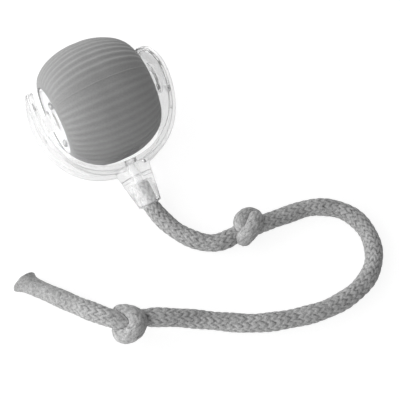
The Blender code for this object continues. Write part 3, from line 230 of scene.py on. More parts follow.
# The braid, drawn on the rope's skin as relief, and as painted light on the stitches and painted
# shade between them
RING_STEP = 0.36 * MM
ROPE_SIDES = 56
BRAID_COLUMNS = 8
STITCH_LENGTH = 3.5 * MM
STITCH_SLANT = 2.1
STITCH_DEPTH = 0.34 * MM
COLUMN_DEPTH = 0.22 * MM
STITCH_POWER = 0.6
STITCH_SEAM_SHARE = 0.35
TWIST_LENGTH = 260.0 * MM
WANDER_SHARE = 0.012
WANDER_LENGTH = 23.0 * MM
WORN_TONE = 0.62
WORN_IN_KNOTS = 0.25
WORN_AT_END = 0.75
WORN_END_LENGTH = 42.0 * MM
ROPE_WAVE = 0.12 * MM
ROPE_WAVE_LENGTH = 17.0 * MM
FLARE_LENGTH = 5.0 * MM
FLARE_SHARE = 0.38
OBLIQUE_LENGTH = 9.0 * MM
OBLIQUE_SHARE = 0.34
END_DOME = 1.1 * MM
END_DOME_RINGS = 8
END_CLOSED_SHARE = 0.995
END_TONE = 0.5
TUFT_SHARE = 0.25
TUFT_STEP = 7.0
TUFT_DRIFT = 5.0

# The sleeve's ribs
RIB_COUNT = 48
RIB_SAMPLES = 10
RIB_HEIGHT = 0.4 * MM
RIB_BAND = 2.6 * MM
RIB_FADE = 1.6 * MM
RIB_POWER = 1.3
SLEEVE_PROFILE_STEPS = 44
SLEEVE_INNER_STEPS = 20
PARTING_TURN = radians(202)
PARTING_RIBS = 1.0
PARTING_LINE_HEIGHT = 0.28 * MM
PARTING_LINE_TURN = radians(0.5)

# Clear pieces
FILLET = 0.45 * MM
SMALL_FILLET = 0.22 * MM
FILLET_STEPS = 5
LATHE_STEPS = 96
HOLE_STEPS = 24
FACE_STEPS = 14
EAR_STATIONS = 56
BACK_STATIONS = 44
TIP_STATIONS = 14
STATION_GAP = 0.02 * MM
MERGE_DISTANCE = 0.002 * MM
NO_LENGTH = 0.0005 * MM
CUT_OVERRUN = 1.0 * MM
SMOOTH_ANGLE = radians(32)

# Grain sizes and relief of the finishes
ROPE_BREAK = 2.2 * MM
ROPE_YARN = 0.9 * MM
ROPE_PATCH = 11.0 * MM
ROPE_SPECK = 0.56 * MM
ROPE_FIBRE = 0.67 * MM
FIBRE_RELIEF = 0.25 * MM
SILICONE_CLOUD = 18.0 * MM
SILICONE_SPECK = 0.7 * MM
SILICONE_RELIEF = 0.06 * MM
CLEAR_WAVE = 8.3 * MM
CLEAR_MARK = 1.4 * MM
CLEAR_RELIEF = 0.3 * MM
PLASTIC_MOTTLE = 5.6 * MM
PLASTIC_GRAIN = 0.45 * MM
PLASTIC_RELIEF = 0.05 * MM
METAL_LINE = 2.5 * MM
METAL_SPOT = 3.8 * MM
METAL_RELIEF = 0.04 * MM
TRACK_PITCH = 3.0 * MM
TRACK_MOTTLE = 3.3 * MM
TRACK_RELIEF = 0.05 * MM

# Lamps: how far each stands ahead and above as shares of its way to the left, its distance
# and size in metres and its power in watts
KEY_LIGHT = {"ahead": -0.5, "rise": 0.5, "distance": 0.62, "power": 8.3, "size": (1.8, 0.7)}
TOP_LIGHT = {"ahead": 2.5, "rise": 1.6, "distance": 0.7, "power": 2.2, "size": (0.8, 0.8)}

# World and floor
WORLD_FILL = 0.27
WORLD_SEEN_THROUGH = 0.91
FLOOR_GLOW = 0.92
FLOOR_WHITE_GLOW = 1.24
FLOOR_GLOW_SHARE = 0.7
FLOOR_SEEN_THROUGH = 0.91
FLOOR_HALF_SIDE = 3.0
FLOOR_DROP = 0.05 * MM


def add_object(name, data):
    """A new object of the scene that holds a camera, a lamp or a mesh."""
    obj = bpy.data.objects.new(name, data)
    bpy.context.scene.collection.objects.link(obj)
    return obj


# Camera

def view_axes():
    """Right, up and back of the photograph's camera."""
    turn = CAMERA_AZIMUTH
    right = Vector((cos(turn), sin(turn), 0))
    level = cos(CAMERA_ELEVATION)
    rise = sin(CAMERA_ELEVATION)
    back = Vector((sin(turn) * level, -cos(turn) * level, rise))
    return right, back.cross(right), back


def camera():
    """Stands where the ball's centre falls on its own pixel of the photograph."""
    right, up, back = view_axes()
    middle = IMAGE_SIDE / 2
    across = (BALL_PIXEL[0] - middle) * PIXEL_SIZE
    down = (BALL_PIXEL[1] - middle) * PIXEL_SIZE
    distance = FOCAL_LENGTH_PIXELS * PIXEL_SIZE
    data = bpy.data.cameras.new("photo_camera")
    data.sensor_width = SENSOR_WIDTH
    data.lens = SENSOR_WIDTH * FOCAL_LENGTH_PIXELS / IMAGE_SIDE
    data.clip_start = NEAREST_SEEN
    place = BALL_CENTRE - across * right + down * up + distance * back
    turn = Matrix((right, up, back)).transposed().to_4x4()
    obj = add_object("photo_camera", data)
    obj.matrix_world = Matrix.Translation(place) @ turn
    bpy.context.scene.camera = obj


# Building blocks for meshes

def plain_mesh(name, vertices, faces):
    mesh = bpy.data.meshes.new(name)
    mesh.from_pydata(vertices, [], faces)
    return add_object(name, mesh)


def grid_faces(rows, columns, closed_rows, closed_columns):
    """Quads of a grid whose points are listed row by row."""
    faces = []
    for row in range(rows if closed_rows else rows - 1):
        here = row * columns
        there = (row + 1) % rows * columns
        for column in range(columns if closed_columns else columns - 1):
            beside = (column + 1) % columns
            faces.append((here + column, here + beside, there + beside, there + column))
    return faces


def mended(obj, mend):
    """An object after a function has changed its mesh."""
    mesh = bmesh.new()
    mesh.from_mesh(obj.data)
    mend(mesh)
    mesh.to_mesh(obj.data)
    mesh.free()
    return obj


def clean(mesh):
    """Merges doubled points, drops faces without area and turns all faces outward."""
    bmesh.ops.remove_doubles(mesh, verts=mesh.verts, dist=MERGE_DISTANCE)
    bmesh.ops.dissolve_degenerate(mesh, dist=NO_LENGTH, edges=mesh.edges)
    bmesh.ops.recalc_face_normals(mesh, faces=mesh.faces)


def rounded(profile, radius, closed=True):
    """A polygon's corners replaced by arcs of up to the given radius."""
    points = [Vector(point) for point in profile]
    result = []
    for i, corner in enumerate(points):
        if not closed and i in (0, len(points) - 1):
            result.append(tuple(corner))
            continue
        before = points[i - 1] - corner
        after = points[(i + 1) % len(points)] - corner
        reach = min(radius, before.length / 2, after.length / 2)
        start = corner + before.normalized() * reach
        end = corner + after.normalized() * reach
        for step in range(FILLET_STEPS + 1):
            t = step / FILLET_STEPS
            point = start * (1 - t) ** 2 + corner * (2 * t * (1 - t)) + end * t**2
            result.append(tuple(point))
    return result


def stepped(*sizes):
    """Corners of a profile with square steps, from its radii and heights in turn."""
    pairs = list(zip(sizes, sizes[1:]))
    return [pair if i % 2 == 0 else pair[::-1] for i, pair in enumerate(pairs)]


def on_turn(radius, height, turn):
    return Vector((radius * cos(turn), radius * sin(turn), height))


def lathe(name, profile, where, closed=True, steps=LATHE_STEPS):
    """Turns (radius, height) points about the Z axis of a frame."""
    vertices = []
    for step in range(steps):
        turn = 2 * pi * step / steps
        for radius, height in profile:
            vertices.append(where @ on_turn(radius, height, turn))
    faces = grid_faces(steps, len(profile), True, closed)
    return mended(plain_mesh(name, vertices, faces), clean)


def apply_boolean(obj, other, operation):
    modifier = obj.modifiers.new(other.name, "BOOLEAN")
    modifier.operation = operation
    modifier.object = other
    modifier.solver = "EXACT"
    bpy.context.view_layer.update()
    graph = bpy.context.evaluated_depsgraph_get()
    mesh = bpy.data.meshes.new_from_object(obj.evaluated_get(graph))
    obj.modifiers.clear()
    old = obj.data
    obj.data = mesh
    bpy.data.meshes.remove(old)
    bpy.data.objects.remove(other, do_unlink=True)


def close_gaps(mesh):
    """Fills the few small openings that a cut can leave between faces."""
    open_edges = [edge for edge in mesh.edges if edge.is_boundary]
    bmesh.ops.holes_fill(mesh, edges=open_edges)
    bmesh.ops.recalc_face_normals(mesh, faces=mesh.faces)


def dress(obj, material, body, replaced, edges=True):
    """Gives a mesh its material and body in place of CAD nodes, with or without sharp edges."""
    obj.data.materials.clear()
    obj.data.materials.append(material)
    obj.data.shade_smooth()
    if edges:
        obj.data.set_sharp_from_angle(angle=SMOOTH_ANGLE)
    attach(obj, body)
    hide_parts(*replaced)


def axial_frame(base, side):
    """A frame whose Z axis runs along the ball's axis, out of the given side."""
    return base @ Matrix.Rotation(QUARTER_TURN * side, 4, "Y")


def capped_tube(rows, columns):
    """Faces of a tube of closed rows, with one face over each end."""
    faces = grid_faces(rows, columns, False, True)
    faces.append(tuple(reversed(range(columns))))
    faces.append(tuple(range((rows - 1) * columns, rows * columns)))
    return faces


def add_shades(obj, name, values):
    """Keeps a value at each point of a mesh, for its material to read."""
    shades = obj.data.attributes.new(name, "FLOAT", "POINT")
    shades.data.foreach_set("value", np.array(values, dtype=np.float32))


def eased(share):
    """0 to 1 with a soft start and end."""
    share = np.clip(share, 0, 1)
    return share * share * (3 - 2 * share)


def lengths_along(line):
    """How far along a line each of its points lies."""
    steps = np.linalg.norm(np.diff(line, axis=0), axis=1)
    return np.concatenate([[0], np.cumsum(steps)])


# Rope: its centre line

def spline_through(points, spacing):
    """Points every so far along a smooth curve through the given ones, ends included."""
    guide = [2 * points[0] - points[1], *points, 2 * points[-1] - points[-2]]
    dense = []
    for i in range(1, len(guide) - 2):
        before, start, end, after = guide[i - 1 : i + 3]
        for step in range(CURVE_STEPS):
            t = step / CURVE_STEPS
            point = 2 * start + (end - before) * t
            point += (2 * before - 5 * start + 4 * end - after) * t**2
            point += (3 * start - before - 3 * end + after) * t**3
            dense.append(point / 2)
    dense.append(guide[-2])
    return resampled(dense, spacing)


def resampled(points, spacing):
    """Points every so far along straight pieces between the given ones."""
    table = np.array(points)
    lengths = lengths_along(table)
    count = max(2, round(lengths[-1] / spacing))
    wanted = np.linspace(0, lengths[-1], count + 1)
    columns = [np.interp(wanted, lengths, column) for column in table.T]
    return [Vector(point) for point in zip(*columns)]


def on_route(place, height):
    x, y = place
    return Vector((x * ROUTE_UNIT, MOUTH.y + y * ROUTE_UNIT, height))


def on_floor(places, knots):
    """The rope's centre over the floor, lifted where it nears a knot."""
    points = []
    for where in places:
        point = on_route(where, ROPE_RADIUS)
        for knot in knots:
            centre = knot.translation
            distance = (centre.xy - point.xy).length
            share = max(KNOT_LIFT_REACH - distance, 0) / (KNOT_LIFT_REACH - KNOT_HALF_LENGTH)
            point.z += (centre.z - ROPE_RADIUS) * float(eased(share))
        points.append(point)
    return points


def knot_guide():
    """Two turns round a ring and three wraps of its tube, out past the start.

    The rope's own line is the X axis, and the ring lies beside it.
    """
    offset = KNOT_RING_RADIUS + KNOT_WRAP_RADIUS
    last_turn = 2 * pi - KNOT_ENTRY_TURN
    halfway = -(offset + KNOT_LINE_OFFSET) / 2
    curve = [
        (-KNOT_RING_RADIUS, halfway, -KNOT_WRAP_HEIGHT),
        (0, -offset, -KNOT_WRAP_HEIGHT),
    ]
    for step in range(KNOT_RING_POINTS + 1):
        turn = KNOT_ENTRY_TURN + (last_turn - KNOT_ENTRY_TURN) * step / KNOT_RING_POINTS
        out = KNOT_RING_RADIUS + KNOT_WRAP_RADIUS * cos(KNOT_WRAPS * turn)
        along = out * sin(KNOT_TURNS * turn)
        across = -out * cos(KNOT_TURNS * turn)
        curve.append((along, across, -KNOT_WRAP_HEIGHT * sin(KNOT_WRAPS * turn)))
    curve += [
        (0, -offset, KNOT_WRAP_HEIGHT),
        (KNOT_RING_RADIUS, halfway, KNOT_WRAP_HEIGHT),
    ]
    ring = Vector((0, KNOT_LINE_OFFSET, -KNOT_LINE_RISE))
    end = Vector((KNOT_HALF_LENGTH - STRAIGHT_END, 0, 0))
    return [-end, *(ring + Vector(point) for point in curve), end]


def same_lengths(line, rest):
    """Moves neighbours so that every piece of the line has its length again."""
    for _ in range(KNOT_LENGTH_ROUNDS):
        for first in (0, 1):
            count = (len(line) - first) // 2
            start = line[first : first + 2 * count : 2]
            end = line[first + 1 : first + 2 * count : 2]
            between = end - start
            length = np.linalg.norm(between, axis=1, keepdims=True)
            change = (1 - rest / length) * between / 2
            start += change
            end -= change


def tightened_knot():
    """The guide's knot after its ends are drawn apart until the strands press together."""
    start = Vector((-KNOT_HALF_LENGTH - KNOT_LEAD, 0, 0))
    line = np.array(spline_through([start, *knot_guide(), -start], KNOT_STEP))
    rest = np.linalg.norm(np.diff(line, axis=0), axis=1).mean()
    order = np.arange(len(line))
    strangers = np.abs(order[:, None] - order[None, :]) * rest > KNOT_STRANGER_LENGTH
    for number in range(KNOT_PULL_ROUNDS + KNOT_REST_ROUNDS):
        if number < KNOT_PULL_ROUNDS:
            line[0, 0] -= KNOT_PULL
            line[-1, 0] += KNOT_PULL
        line[2:-2] += BENDING_SHARE * ((line[1:-3] + line[3:-1]) / 2 - line[2:-2])
        between = line[:, None] - line[None]
        distance = np.linalg.norm(between, axis=2) + NO_DISTANCE
        near = strangers & (distance < KNOT_CONTACT)
        push = np.where(near, (KNOT_CONTACT - distance) / distance, 0)[:, :, None] * between
        touching = np.maximum(near.sum(axis=1), 1)[:, None]
        line += PUSH_SHARE * push.sum(axis=1) / touching
        same_lengths(line, rest)
        for held in (0, 1, -2, -1):
            line[held, 1:] = 0
    line[:, 0] -= (line[0, 0] + line[-1, 0]) / 2
    return line


def placed_knot(tight, knot):
    """A knot's frame on the floor, with X along the rope, and the line of its strand there."""
    stretched = tight * (knot["along"], knot["across"], knot["across"])
    points = [Vector(point) for point in stretched if abs(point[0]) < KNOT_HALF_LENGTH]
    turn = Matrix.Rotation(radians(knot["heading"]), 4, "Z")
    turn = turn @ Matrix.Rotation(radians(knot["roll"]), 4, "X")
    lowest = min((turn @ point).z for point in points)
    height = KNOT_STRAND_SHARE * ROPE_RADIUS - lowest
    where = Matrix.Translation(on_route(knot["middle"], height)) @ turn
    return where, [where @ point for point in points]


def rope_route():
    """Centre line from the socket's bore to the free end, and the marks of the knots.

    The marks are (first, last) indices of each knot's points in the line.
    """
    tight = tightened_knot()
    near_frame, near = placed_knot(tight, NEAR_KNOT)
    far_frame, far = placed_knot(tight, FAR_KNOT)
    frames = [near_frame, far_frame]
    root = CONNECTOR_FRAME @ Vector((0, 0, ROPE_END_REACH))
    mouth = CONNECTOR_FRAME @ Vector((0, 0, SOCKET_END_REACH + SOCKET_MOUTH_FLARE))
    lead = [root, mouth, *on_floor(LEAD_ROUTE, frames), near[0]]
    loop = [near[-1], *on_floor(LOOP_ROUTE, frames), far[0]]
    tail = [far[-1], *on_floor(TAIL_ROUTE, frames)]
    line = spline_through(lead, KNOT_STEP)[:-1]
    marks = [(len(line), len(line) + len(near) - 1)]
    line += near + spline_through(loop, KNOT_STEP)[1:-1]
    marks.append((len(line), len(line) + len(far) - 1))
    line += far + spline_through(tail, KNOT_STEP)[1:]
    return line, marks


def smoothed(line, marks):
    """The line with its kinks drawn out, except in the socket and the knots' middles."""
    lengths = lengths_along(line)
    in_socket = SOCKET_END_REACH - ROPE_END_REACH
    free = eased((lengths - in_socket) / SMOOTHING_DEPTH)
    for first, last in marks:
        depth = np.minimum(lengths - lengths[first], lengths[last] - lengths)
        free *= 1 - eased(depth / SMOOTHING_DEPTH)
    free = free[1:-1, None]
    for _ in range(SMOOTHING_ROUNDS):
        line[1:-1] += free * ((line[:-2] + line[2:]) / 2 - line[1:-1]) / 2
    return line


# Rope: its skin

def transported_sides(line):
    """Unit tangents and two sides for each point, turning as little as possible."""
    tangents = np.gradient(line, axis=0)
    tangents /= np.linalg.norm(tangents, axis=1, keepdims=True)
    side = np.cross(tangents[0], (0, 0, 1))
    sides = np.empty_like(line)
    for i, tangent in enumerate(tangents):
        side = side - tangent * side.dot(tangent)
        side = side / np.linalg.norm(side)
        sides[i] = side
    return tangents, sides, np.cross(tangents, sides)


def stitch_height(turn_share, along):
    """Ridges of the braid's stitches and the bulge of its columns, both from 0 to 1."""
    wander = WANDER_SHARE * np.sin(2 * pi * along / WANDER_LENGTH)
    column = (turn_share + along / TWIST_LENGTH + wander) % 1 * BRAID_COLUMNS * 2
    inside = 2 * (column % 1) - 1
    slant = np.where(np.floor(column) % 2 == 0, 1, -1)
    interlock = pi * (np.floor(column / 2) % 2)
    phase = 2 * pi * along / STITCH_LENGTH + slant * inside * STITCH_SLANT + interlock
    ridge = (0.5 + 0.5 * np.cos(phase)) ** STITCH_POWER
    bulge = np.sqrt(np.clip(1 - inside**2, 0, 1))
    return ridge, bulge


def knot_shares(lengths, spans):
    """How far inside each knot every length lies, from 0 to 1."""
    shares = []
    for start, end in spans:
        from_start = eased((lengths - start) / ROPE_RADIUS)
        shares.append(from_start * eased((end - lengths) / ROPE_RADIUS))
    return shares


def worn_share(lengths, spans):
    """How far the braid is smoothed away: most at the free end, and some in the knots."""
    worn = WORN_AT_END * eased(1 - (lengths[-1] - lengths) / WORN_END_LENGTH)
    for share in knot_shares(lengths, spans):
        worn = np.maximum(worn, WORN_IN_KNOTS * share)
    return worn


def rope_radii(lengths, spans):
    """The rope's radius at each ring: slimmer in the knots, flared at the free end."""
    radii = np.full(len(lengths), ROPE_RADIUS)
    for share in knot_shares(lengths, spans):
        radii *= 1 - (1 - KNOT_RADIUS_SHARE) * share
    radii += ROPE_WAVE * np.sin(2 * pi * lengths / ROPE_WAVE_LENGTH)
    flare = np.clip(1 - (lengths[-1] - lengths) / FLARE_LENGTH, 0, 1)
    return radii * (1 + FLARE_SHARE * flare**2)


def pressed(rings, line, lengths, spans):
    """Flattens the strands of a knot where they meet, and the rope on the floor."""
    for start, end in spans:
        near = (lengths >= start - ROPE_DIAMETER) & (lengths <= end + ROPE_DIAMETER)
        inside = np.where(near)[0]
        for i in inside:
            others = inside[np.abs(lengths[inside] - lengths[i]) > KNOT_PRESS_LENGTH]
            offsets = line[others] - line[i]
            distances = np.linalg.norm(offsets, axis=1)
            close = distances < ROPE_DIAMETER + KNOT_PRESS_SLACK
            if not close.any():
                continue
            normals = offsets[close] / distances[close][:, None]
            limits = distances[close] / 2 - KNOT_PRESS_GAP
            out = (rings[i] - line[i]) @ normals.T - limits[None, :]
            worst = out.argmax(axis=1)
            excess = np.maximum(out.max(axis=1), 0)
            rings[i] -= excess[:, None] * normals[worst]
    rings[:, :, 2] = np.maximum(rings[:, :, 2], KNOT_PRESS_GAP)
    return rings


def oblique_shift(rings, line, lengths, tangents):
    """How far the points near the free end lie back or ahead, so that its cut is oblique."""
    from_end = lengths[-1] - lengths
    share = OBLIQUE_SHARE * (1 - eased(from_end / OBLIQUE_LENGTH))
    across = np.cross((0, 0, 1), tangents)
    offsets = np.einsum("ijk,ik->ij", rings - line[:, None, :], across)
    return (share[:, None] * offsets)[:, :, None] * tangents[:, None, :]


def rope_rings():
    """Every ring of the skin, with each point's stitch value for the painted light and shade,
    and the centre line.
    """
    route, marks = rope_route()
    route = smoothed(np.array(route), marks)
    route_lengths = lengths_along(route)
    spans = [(route_lengths[first], route_lengths[last]) for first, last in marks]
    line = np.array(spline_through([Vector(point) for point in route], RING_STEP))
    lengths = lengths_along(line)
    tangents, sides, ups = transported_sides(line)
    radii = rope_radii(lengths, spans)
    shares = np.arange(ROPE_SIDES) / ROPE_SIDES
    angles = 2 * pi * shares[None, :, None]
    ridge, bulge = stitch_height(shares[None, :], lengths[:, None])
    worn = worn_share(lengths, spans)[:, None]
    relief = STITCH_DEPTH * (ridge - 0.5) + COLUMN_DEPTH * (bulge - 0.5)
    reach = radii[:, None] + relief * (1 - worn)
    # Stitch value: high on the ridges, low between them and flat where worn; the rope's colour
    # paints light and shade from it
    height = ridge * (STITCH_SEAM_SHARE + (1 - STITCH_SEAM_SHARE) * bulge)
    height = height * (1 - worn) + WORN_TONE * worn
    around = sides[:, None, :] * np.cos(angles) + ups[:, None, :] * np.sin(angles)
    rings = line[:, None, :] + around * reach[:, :, None]
    rings += oblique_shift(rings, line, lengths, tangents)
    return pressed(rings, line, lengths, spans), height, line, tangents


def end_dome(ring, centre, outward, relief):
    """Rings that close the rope's end in a low dome of cut yarns."""
    rings = []
    dome_stitch_shades = []
    for step in range(1, END_DOME_RINGS + 1):
        inward = step / END_DOME_RINGS
        rise = END_DOME * sqrt(inward * (2 - inward))
        tufts = np.arange(len(ring)) * TUFT_STEP + TUFT_DRIFT * inward
        wave = 1 + TUFT_SHARE * np.sin(tufts)
        flat = ring + (centre - ring) * inward * END_CLOSED_SHARE
        rings.append(flat + outward * (rise * wave)[:, None])
        # The painted stitch light and shade fades to a flat value over the cut end
        dome_stitch_shades.append(relief * (1 - inward) + END_TONE * inward)
    return rings, dome_stitch_shades


def rope(material):
    rings, relief, line, tangents = rope_rings()
    far_rings, far_stitch_shades = end_dome(rings[-1], line[-1], tangents[-1], relief[-1])
    near_rings, near_stitch_shades = end_dome(rings[0], line[0], -tangents[0], relief[0])
    every_ring = np.array([*reversed(near_rings), *rings, *far_rings])
    every_stitch_shade = np.array([*reversed(near_stitch_shades), *relief, *far_stitch_shades])
    vertices = every_ring.reshape(-1, 3).tolist()
    faces = capped_tube(len(every_ring), ROPE_SIDES)
    obj = plain_mesh("braided_rope", vertices, faces)
    # Each point keeps its stitch value, from which the colour paints light on the ridges and
    # shade between them
    add_shades(obj, "stitch", every_stitch_shade.reshape(-1))
    pieces = ["rope_lead", "knot_near", "rope_loop", "knot_far", "rope_tail"]
    dress(obj, material, "socket", pieces, edges=False)


# Sleeve

def barrel_profile(depth, steps):
    """(radius, height) points of the barrel from end to end, this deep under its skin."""
    bulge = BALL_RADIUS - depth - SLEEVE_OPENING_RADIUS
    slope = SLEEVE_HALF_WIDTH - depth - CONTACT_HALF_WIDTH
    half = []
    for step in range(steps + 1):
        turn = QUARTER_TURN * (steps - step) / steps
        length_share = sin(turn) ** (2 / PROFILE_LENGTH_POWER)
        radius_share = max(cos(turn), 0) ** (2 / PROFILE_RADIUS_POWER)
        height = CONTACT_HALF_WIDTH + slope * length_share
        half.append((SLEEVE_OPENING_RADIUS + bulge * radius_share, height))
    return half + [(radius, -height) for radius, height in reversed(half)]


def from_parting(turn):
    """A turn round the ball as seen from the parting line, up to half a turn either way."""
    return (turn - PARTING_TURN + pi) % (2 * pi) - pi


def rib_relief(turn):
    """How far a rib stands out at a turn round the ball, as a share of its height."""
    rib_turn = 2 * pi / RIB_COUNT
    plain = eased(abs(from_parting(turn)) / (PARTING_RIBS * rib_turn) - 0.5)
    wave = 0.5 + 0.5 * cos(RIB_COUNT * turn)
    return float(plain) * wave**RIB_POWER


def sleeve(material):
    """Grey sleeve with soft ribs along the axis, plain bands at its ends and one seam."""
    outer = barrel_profile(0, SLEEVE_PROFILE_STEPS)
    inner = barrel_profile(SLEEVE_THICKNESS, SLEEVE_INNER_STEPS)
    profile = outer + list(reversed(inner))
    along = lengths_along(outer)
    from_end = np.minimum(along, along[-1] - along)
    fades = [*eased((from_end - RIB_BAND) / RIB_FADE), *np.zeros(len(inner))]
    steps = RIB_COUNT * RIB_SAMPLES
    where = axial_frame(BALL_FRAME, 1)
    vertices = []
    rib_shade_levels = []
    for step in range(steps):
        turn = 2 * pi * step / steps
        share = rib_relief(turn)
        seam = exp(-((from_parting(turn) / PARTING_LINE_TURN) ** 2))
        for (radius, height), fade in zip(profile, fades):
            rise = fade * RIB_HEIGHT * (share - 1) + seam * PARTING_LINE_HEIGHT * fade
            vertices.append(where @ on_turn(radius + rise, height, turn))
            rib_shade_levels.append(0.5 + fade * (share - 0.5))
    faces = grid_faces(steps, len(profile), True, True)
    obj = plain_mesh("ribbed_sleeve", vertices, faces)
    # Each point keeps how high its rib stands, from which the silicone paints shade in the
    # grooves
    add_shades(obj, "rib", rib_shade_levels)
    dress(mended(obj, clean), material, "ball", ["silicone_sleeve"])


# Clear pieces

def end_cap(side_name, side, material):
    profile = stepped(
        HUB_BORE_RADIUS, CAP_FACE,
        CAP_RIM_RADIUS - CAP_RIM_WIDTH, CAP_FACE + CAP_RIM_HEIGHT,
        CAP_RIM_RADIUS, CAP_BACK,
        HUB_RADIUS, BUSH_INNER_END,
        HUB_BORE_RADIUS,
    )
    hole_profile = stepped(
        0, CAP_BACK - CUT_OVERRUN, SCREW_SHANK_RADIUS + GAP, CAP_FACE + CUT_OVERRUN, 0
    )
    where = axial_frame(BALL_FRAME, side)
    cap = lathe(f"clear_cap_{side_name}", rounded(profile, SMALL_FILLET), where)
    for number in range(CAP_SCREW_COUNT):
        turn = Matrix.Rotation(2 * pi * number / CAP_SCREW_COUNT, 4, "Z")
        hole_frame = where @ turn @ Matrix.Translation((CAP_SCREW_CIRCLE_RADIUS, 0, 0))
        hole = lathe(f"hole_{number}", hole_profile, hole_frame, False, HOLE_STEPS)
        apply_boolean(cap, hole, "DIFFERENCE")
    mended(cap, close_gaps)
    dress(cap, material, "ball", [f"end_cap_{side_name}"])


def bow_size(level):
    """Half span and reach of the bow. Level 0 is its inner skin, 1 the web and 2 the lip."""
    spans = (YOKE_INNER_HALF_SPAN, YOKE_WEB_HALF_SPAN, YOKE_OUTER_HALF_SPAN)
    reaches = (YOKE_INNER_REACH, YOKE_WEB_REACH, YOKE_OUTER_REACH)
    return [float(np.interp(level, (0, 1, 2), sizes)) for sizes in (spans, reaches)]


def plan_half_width(reach, inset):
    """Half width of the yoke seen along the ball's axis, this far inside its outline."""
    ear = EAR_RADIUS - inset
    strap = STRAP_HALF_WIDTH - inset
    lean = atan2(ear - strap, YOKE_OUTER_REACH)
    tangent_reach = ear * sin(lean)
    if reach <= tangent_reach:
        return sqrt(max(ear**2 - reach**2, 0))
    at_tangent = ear * cos(lean)
    share = (reach - tangent_reach) / (YOKE_OUTER_REACH - tangent_reach)
    return at_tangent + (strap - at_tangent) * share


def lip_profile():
    """Half of the yoke's section as (inset, level), from its inner skin round to the web."""
    wall_level = FILLET / (EAR_WALL + EAR_LIP_HEIGHT) * 2
    corners = [
        (3 * FILLET, 0),
        (0, 0),
        (0, 2),
        (LIP_WIDTH, 2),
        (LIP_WIDTH, 1),
        (LIP_WIDTH + 2 * FILLET, 1),
    ]
    scaled = [(inset, level / wall_level * FILLET) for inset, level in corners]
    arcs = rounded(scaled, FILLET, closed=False)
    return [(inset, height * wall_level / FILLET) for inset, height in arcs]


def bow_stations():
    """Places along one half of the bow, as (reach, share of the way round the back)."""
    lip = EAR_RADIUS - LIP_WIDTH
    tip = EAR_RADIUS - lip - STATION_GAP
    shares = [step / (TIP_STATIONS - 1) for step in range(TIP_STATIONS)]
    reaches = [-EAR_RADIUS + tip * share**2 for share in shares]
    for step in range(EAR_STATIONS):
        reaches.append(-lip * cos(QUARTER_TURN * step / EAR_STATIONS))
    half = EAR_STATIONS // 2
    reaches += [EAR_RADIUS * step / half for step in range(half + 1)]
    stations = [(reach, 0.0) for reach in reaches]
    for step in range(1, BACK_STATIONS + 1):
        stations.append((EAR_RADIUS, step / BACK_STATIONS))
    return stations


def station_point(reach, share, level):
    """(half span, reach) of the bow at a station and level."""
    half_span, full_reach = bow_size(level)
    if not share:
        reach_share = min(abs(reach) / full_reach, 1)
        span_share = (1 - reach_share**YOKE_CURVE_POWER) ** (1 / YOKE_CURVE_POWER)
        return half_span * span_share, reach
    power = YOKE_CURVE_POWER / 2
    start = asin((reach / full_reach) ** power)
    turn = start + (QUARTER_TURN - start) * share
    across = max(cos(turn), 0) ** (1 / power)
    along = sin(turn) ** (1 / power)
    return half_span * across, full_reach * along


def bow_row(reach, share, side, section):
    """One closed section of the bow, as points of the yoke's frame."""
    deepest = EAR_RADIUS - abs(reach) if reach < 0 else LIP_WIDTH + EAR_RADIUS
    edge = min(range(len(section)), key=lambda i: section[i][0])
    shown = [i for i, place in enumerate(section) if place[0] <= deepest]
    levels = []
    for number, (inset, level) in enumerate(section):
        if inset > deepest:
            before = [i for i in shown if i < number]
            after = [i for i in shown if i > number]
            chosen = after[0] if number < edge else before[-1]
            level = section[chosen][1]
        levels.append((inset, level))
    shares = [step / FACE_STEPS for step in range(FACE_STEPS)]
    half = [(*levels[0], across) for across in shares]
    half += [(*place, 1.0) for place in levels]
    half += [(*levels[-1], across) for across in reversed(shares)]
    points = []
    for inset, level, across in half:
        span, place = station_point(reach, share, level)
        width = plan_half_width(place if share else reach, inset) * across
        points.append((side * span, -place, width))
    back = [(x, y, -z) for x, y, z in reversed(points[1:-1])]
    return [YOKE_FRAME @ Vector(point) for point in points + back]


def bow():
    """The bow with its two ears, lips all round and a channel between them."""
    section = lip_profile()
    stations = bow_stations()
    rows = [bow_row(reach, share, 1, section) for reach, share in stations]
    rows += [bow_row(reach, share, -1, section) for reach, share in reversed(stations[:-1])]
    vertices = [point for row in rows for point in row]
    faces = capped_tube(len(rows), len(rows[0]))
    return mended(plain_mesh("clear_yoke", vertices, faces), clean)


def open_pocket(mesh):
    """Takes out the skin that the cut can leave over the mouth of the pin's hole."""
    back = CONNECTOR_FRAME.inverted()
    skins = []
    for face in mesh.faces:
        place = back @ face.calc_center_median()
        if hypot(place.x, place.y) < PIN_SHANK_RADIUS + GAP / 2 and place.z > PIN_SEAT:
            skins.append(face)
    bmesh.ops.delete(mesh, geom=skins, context="FACES")


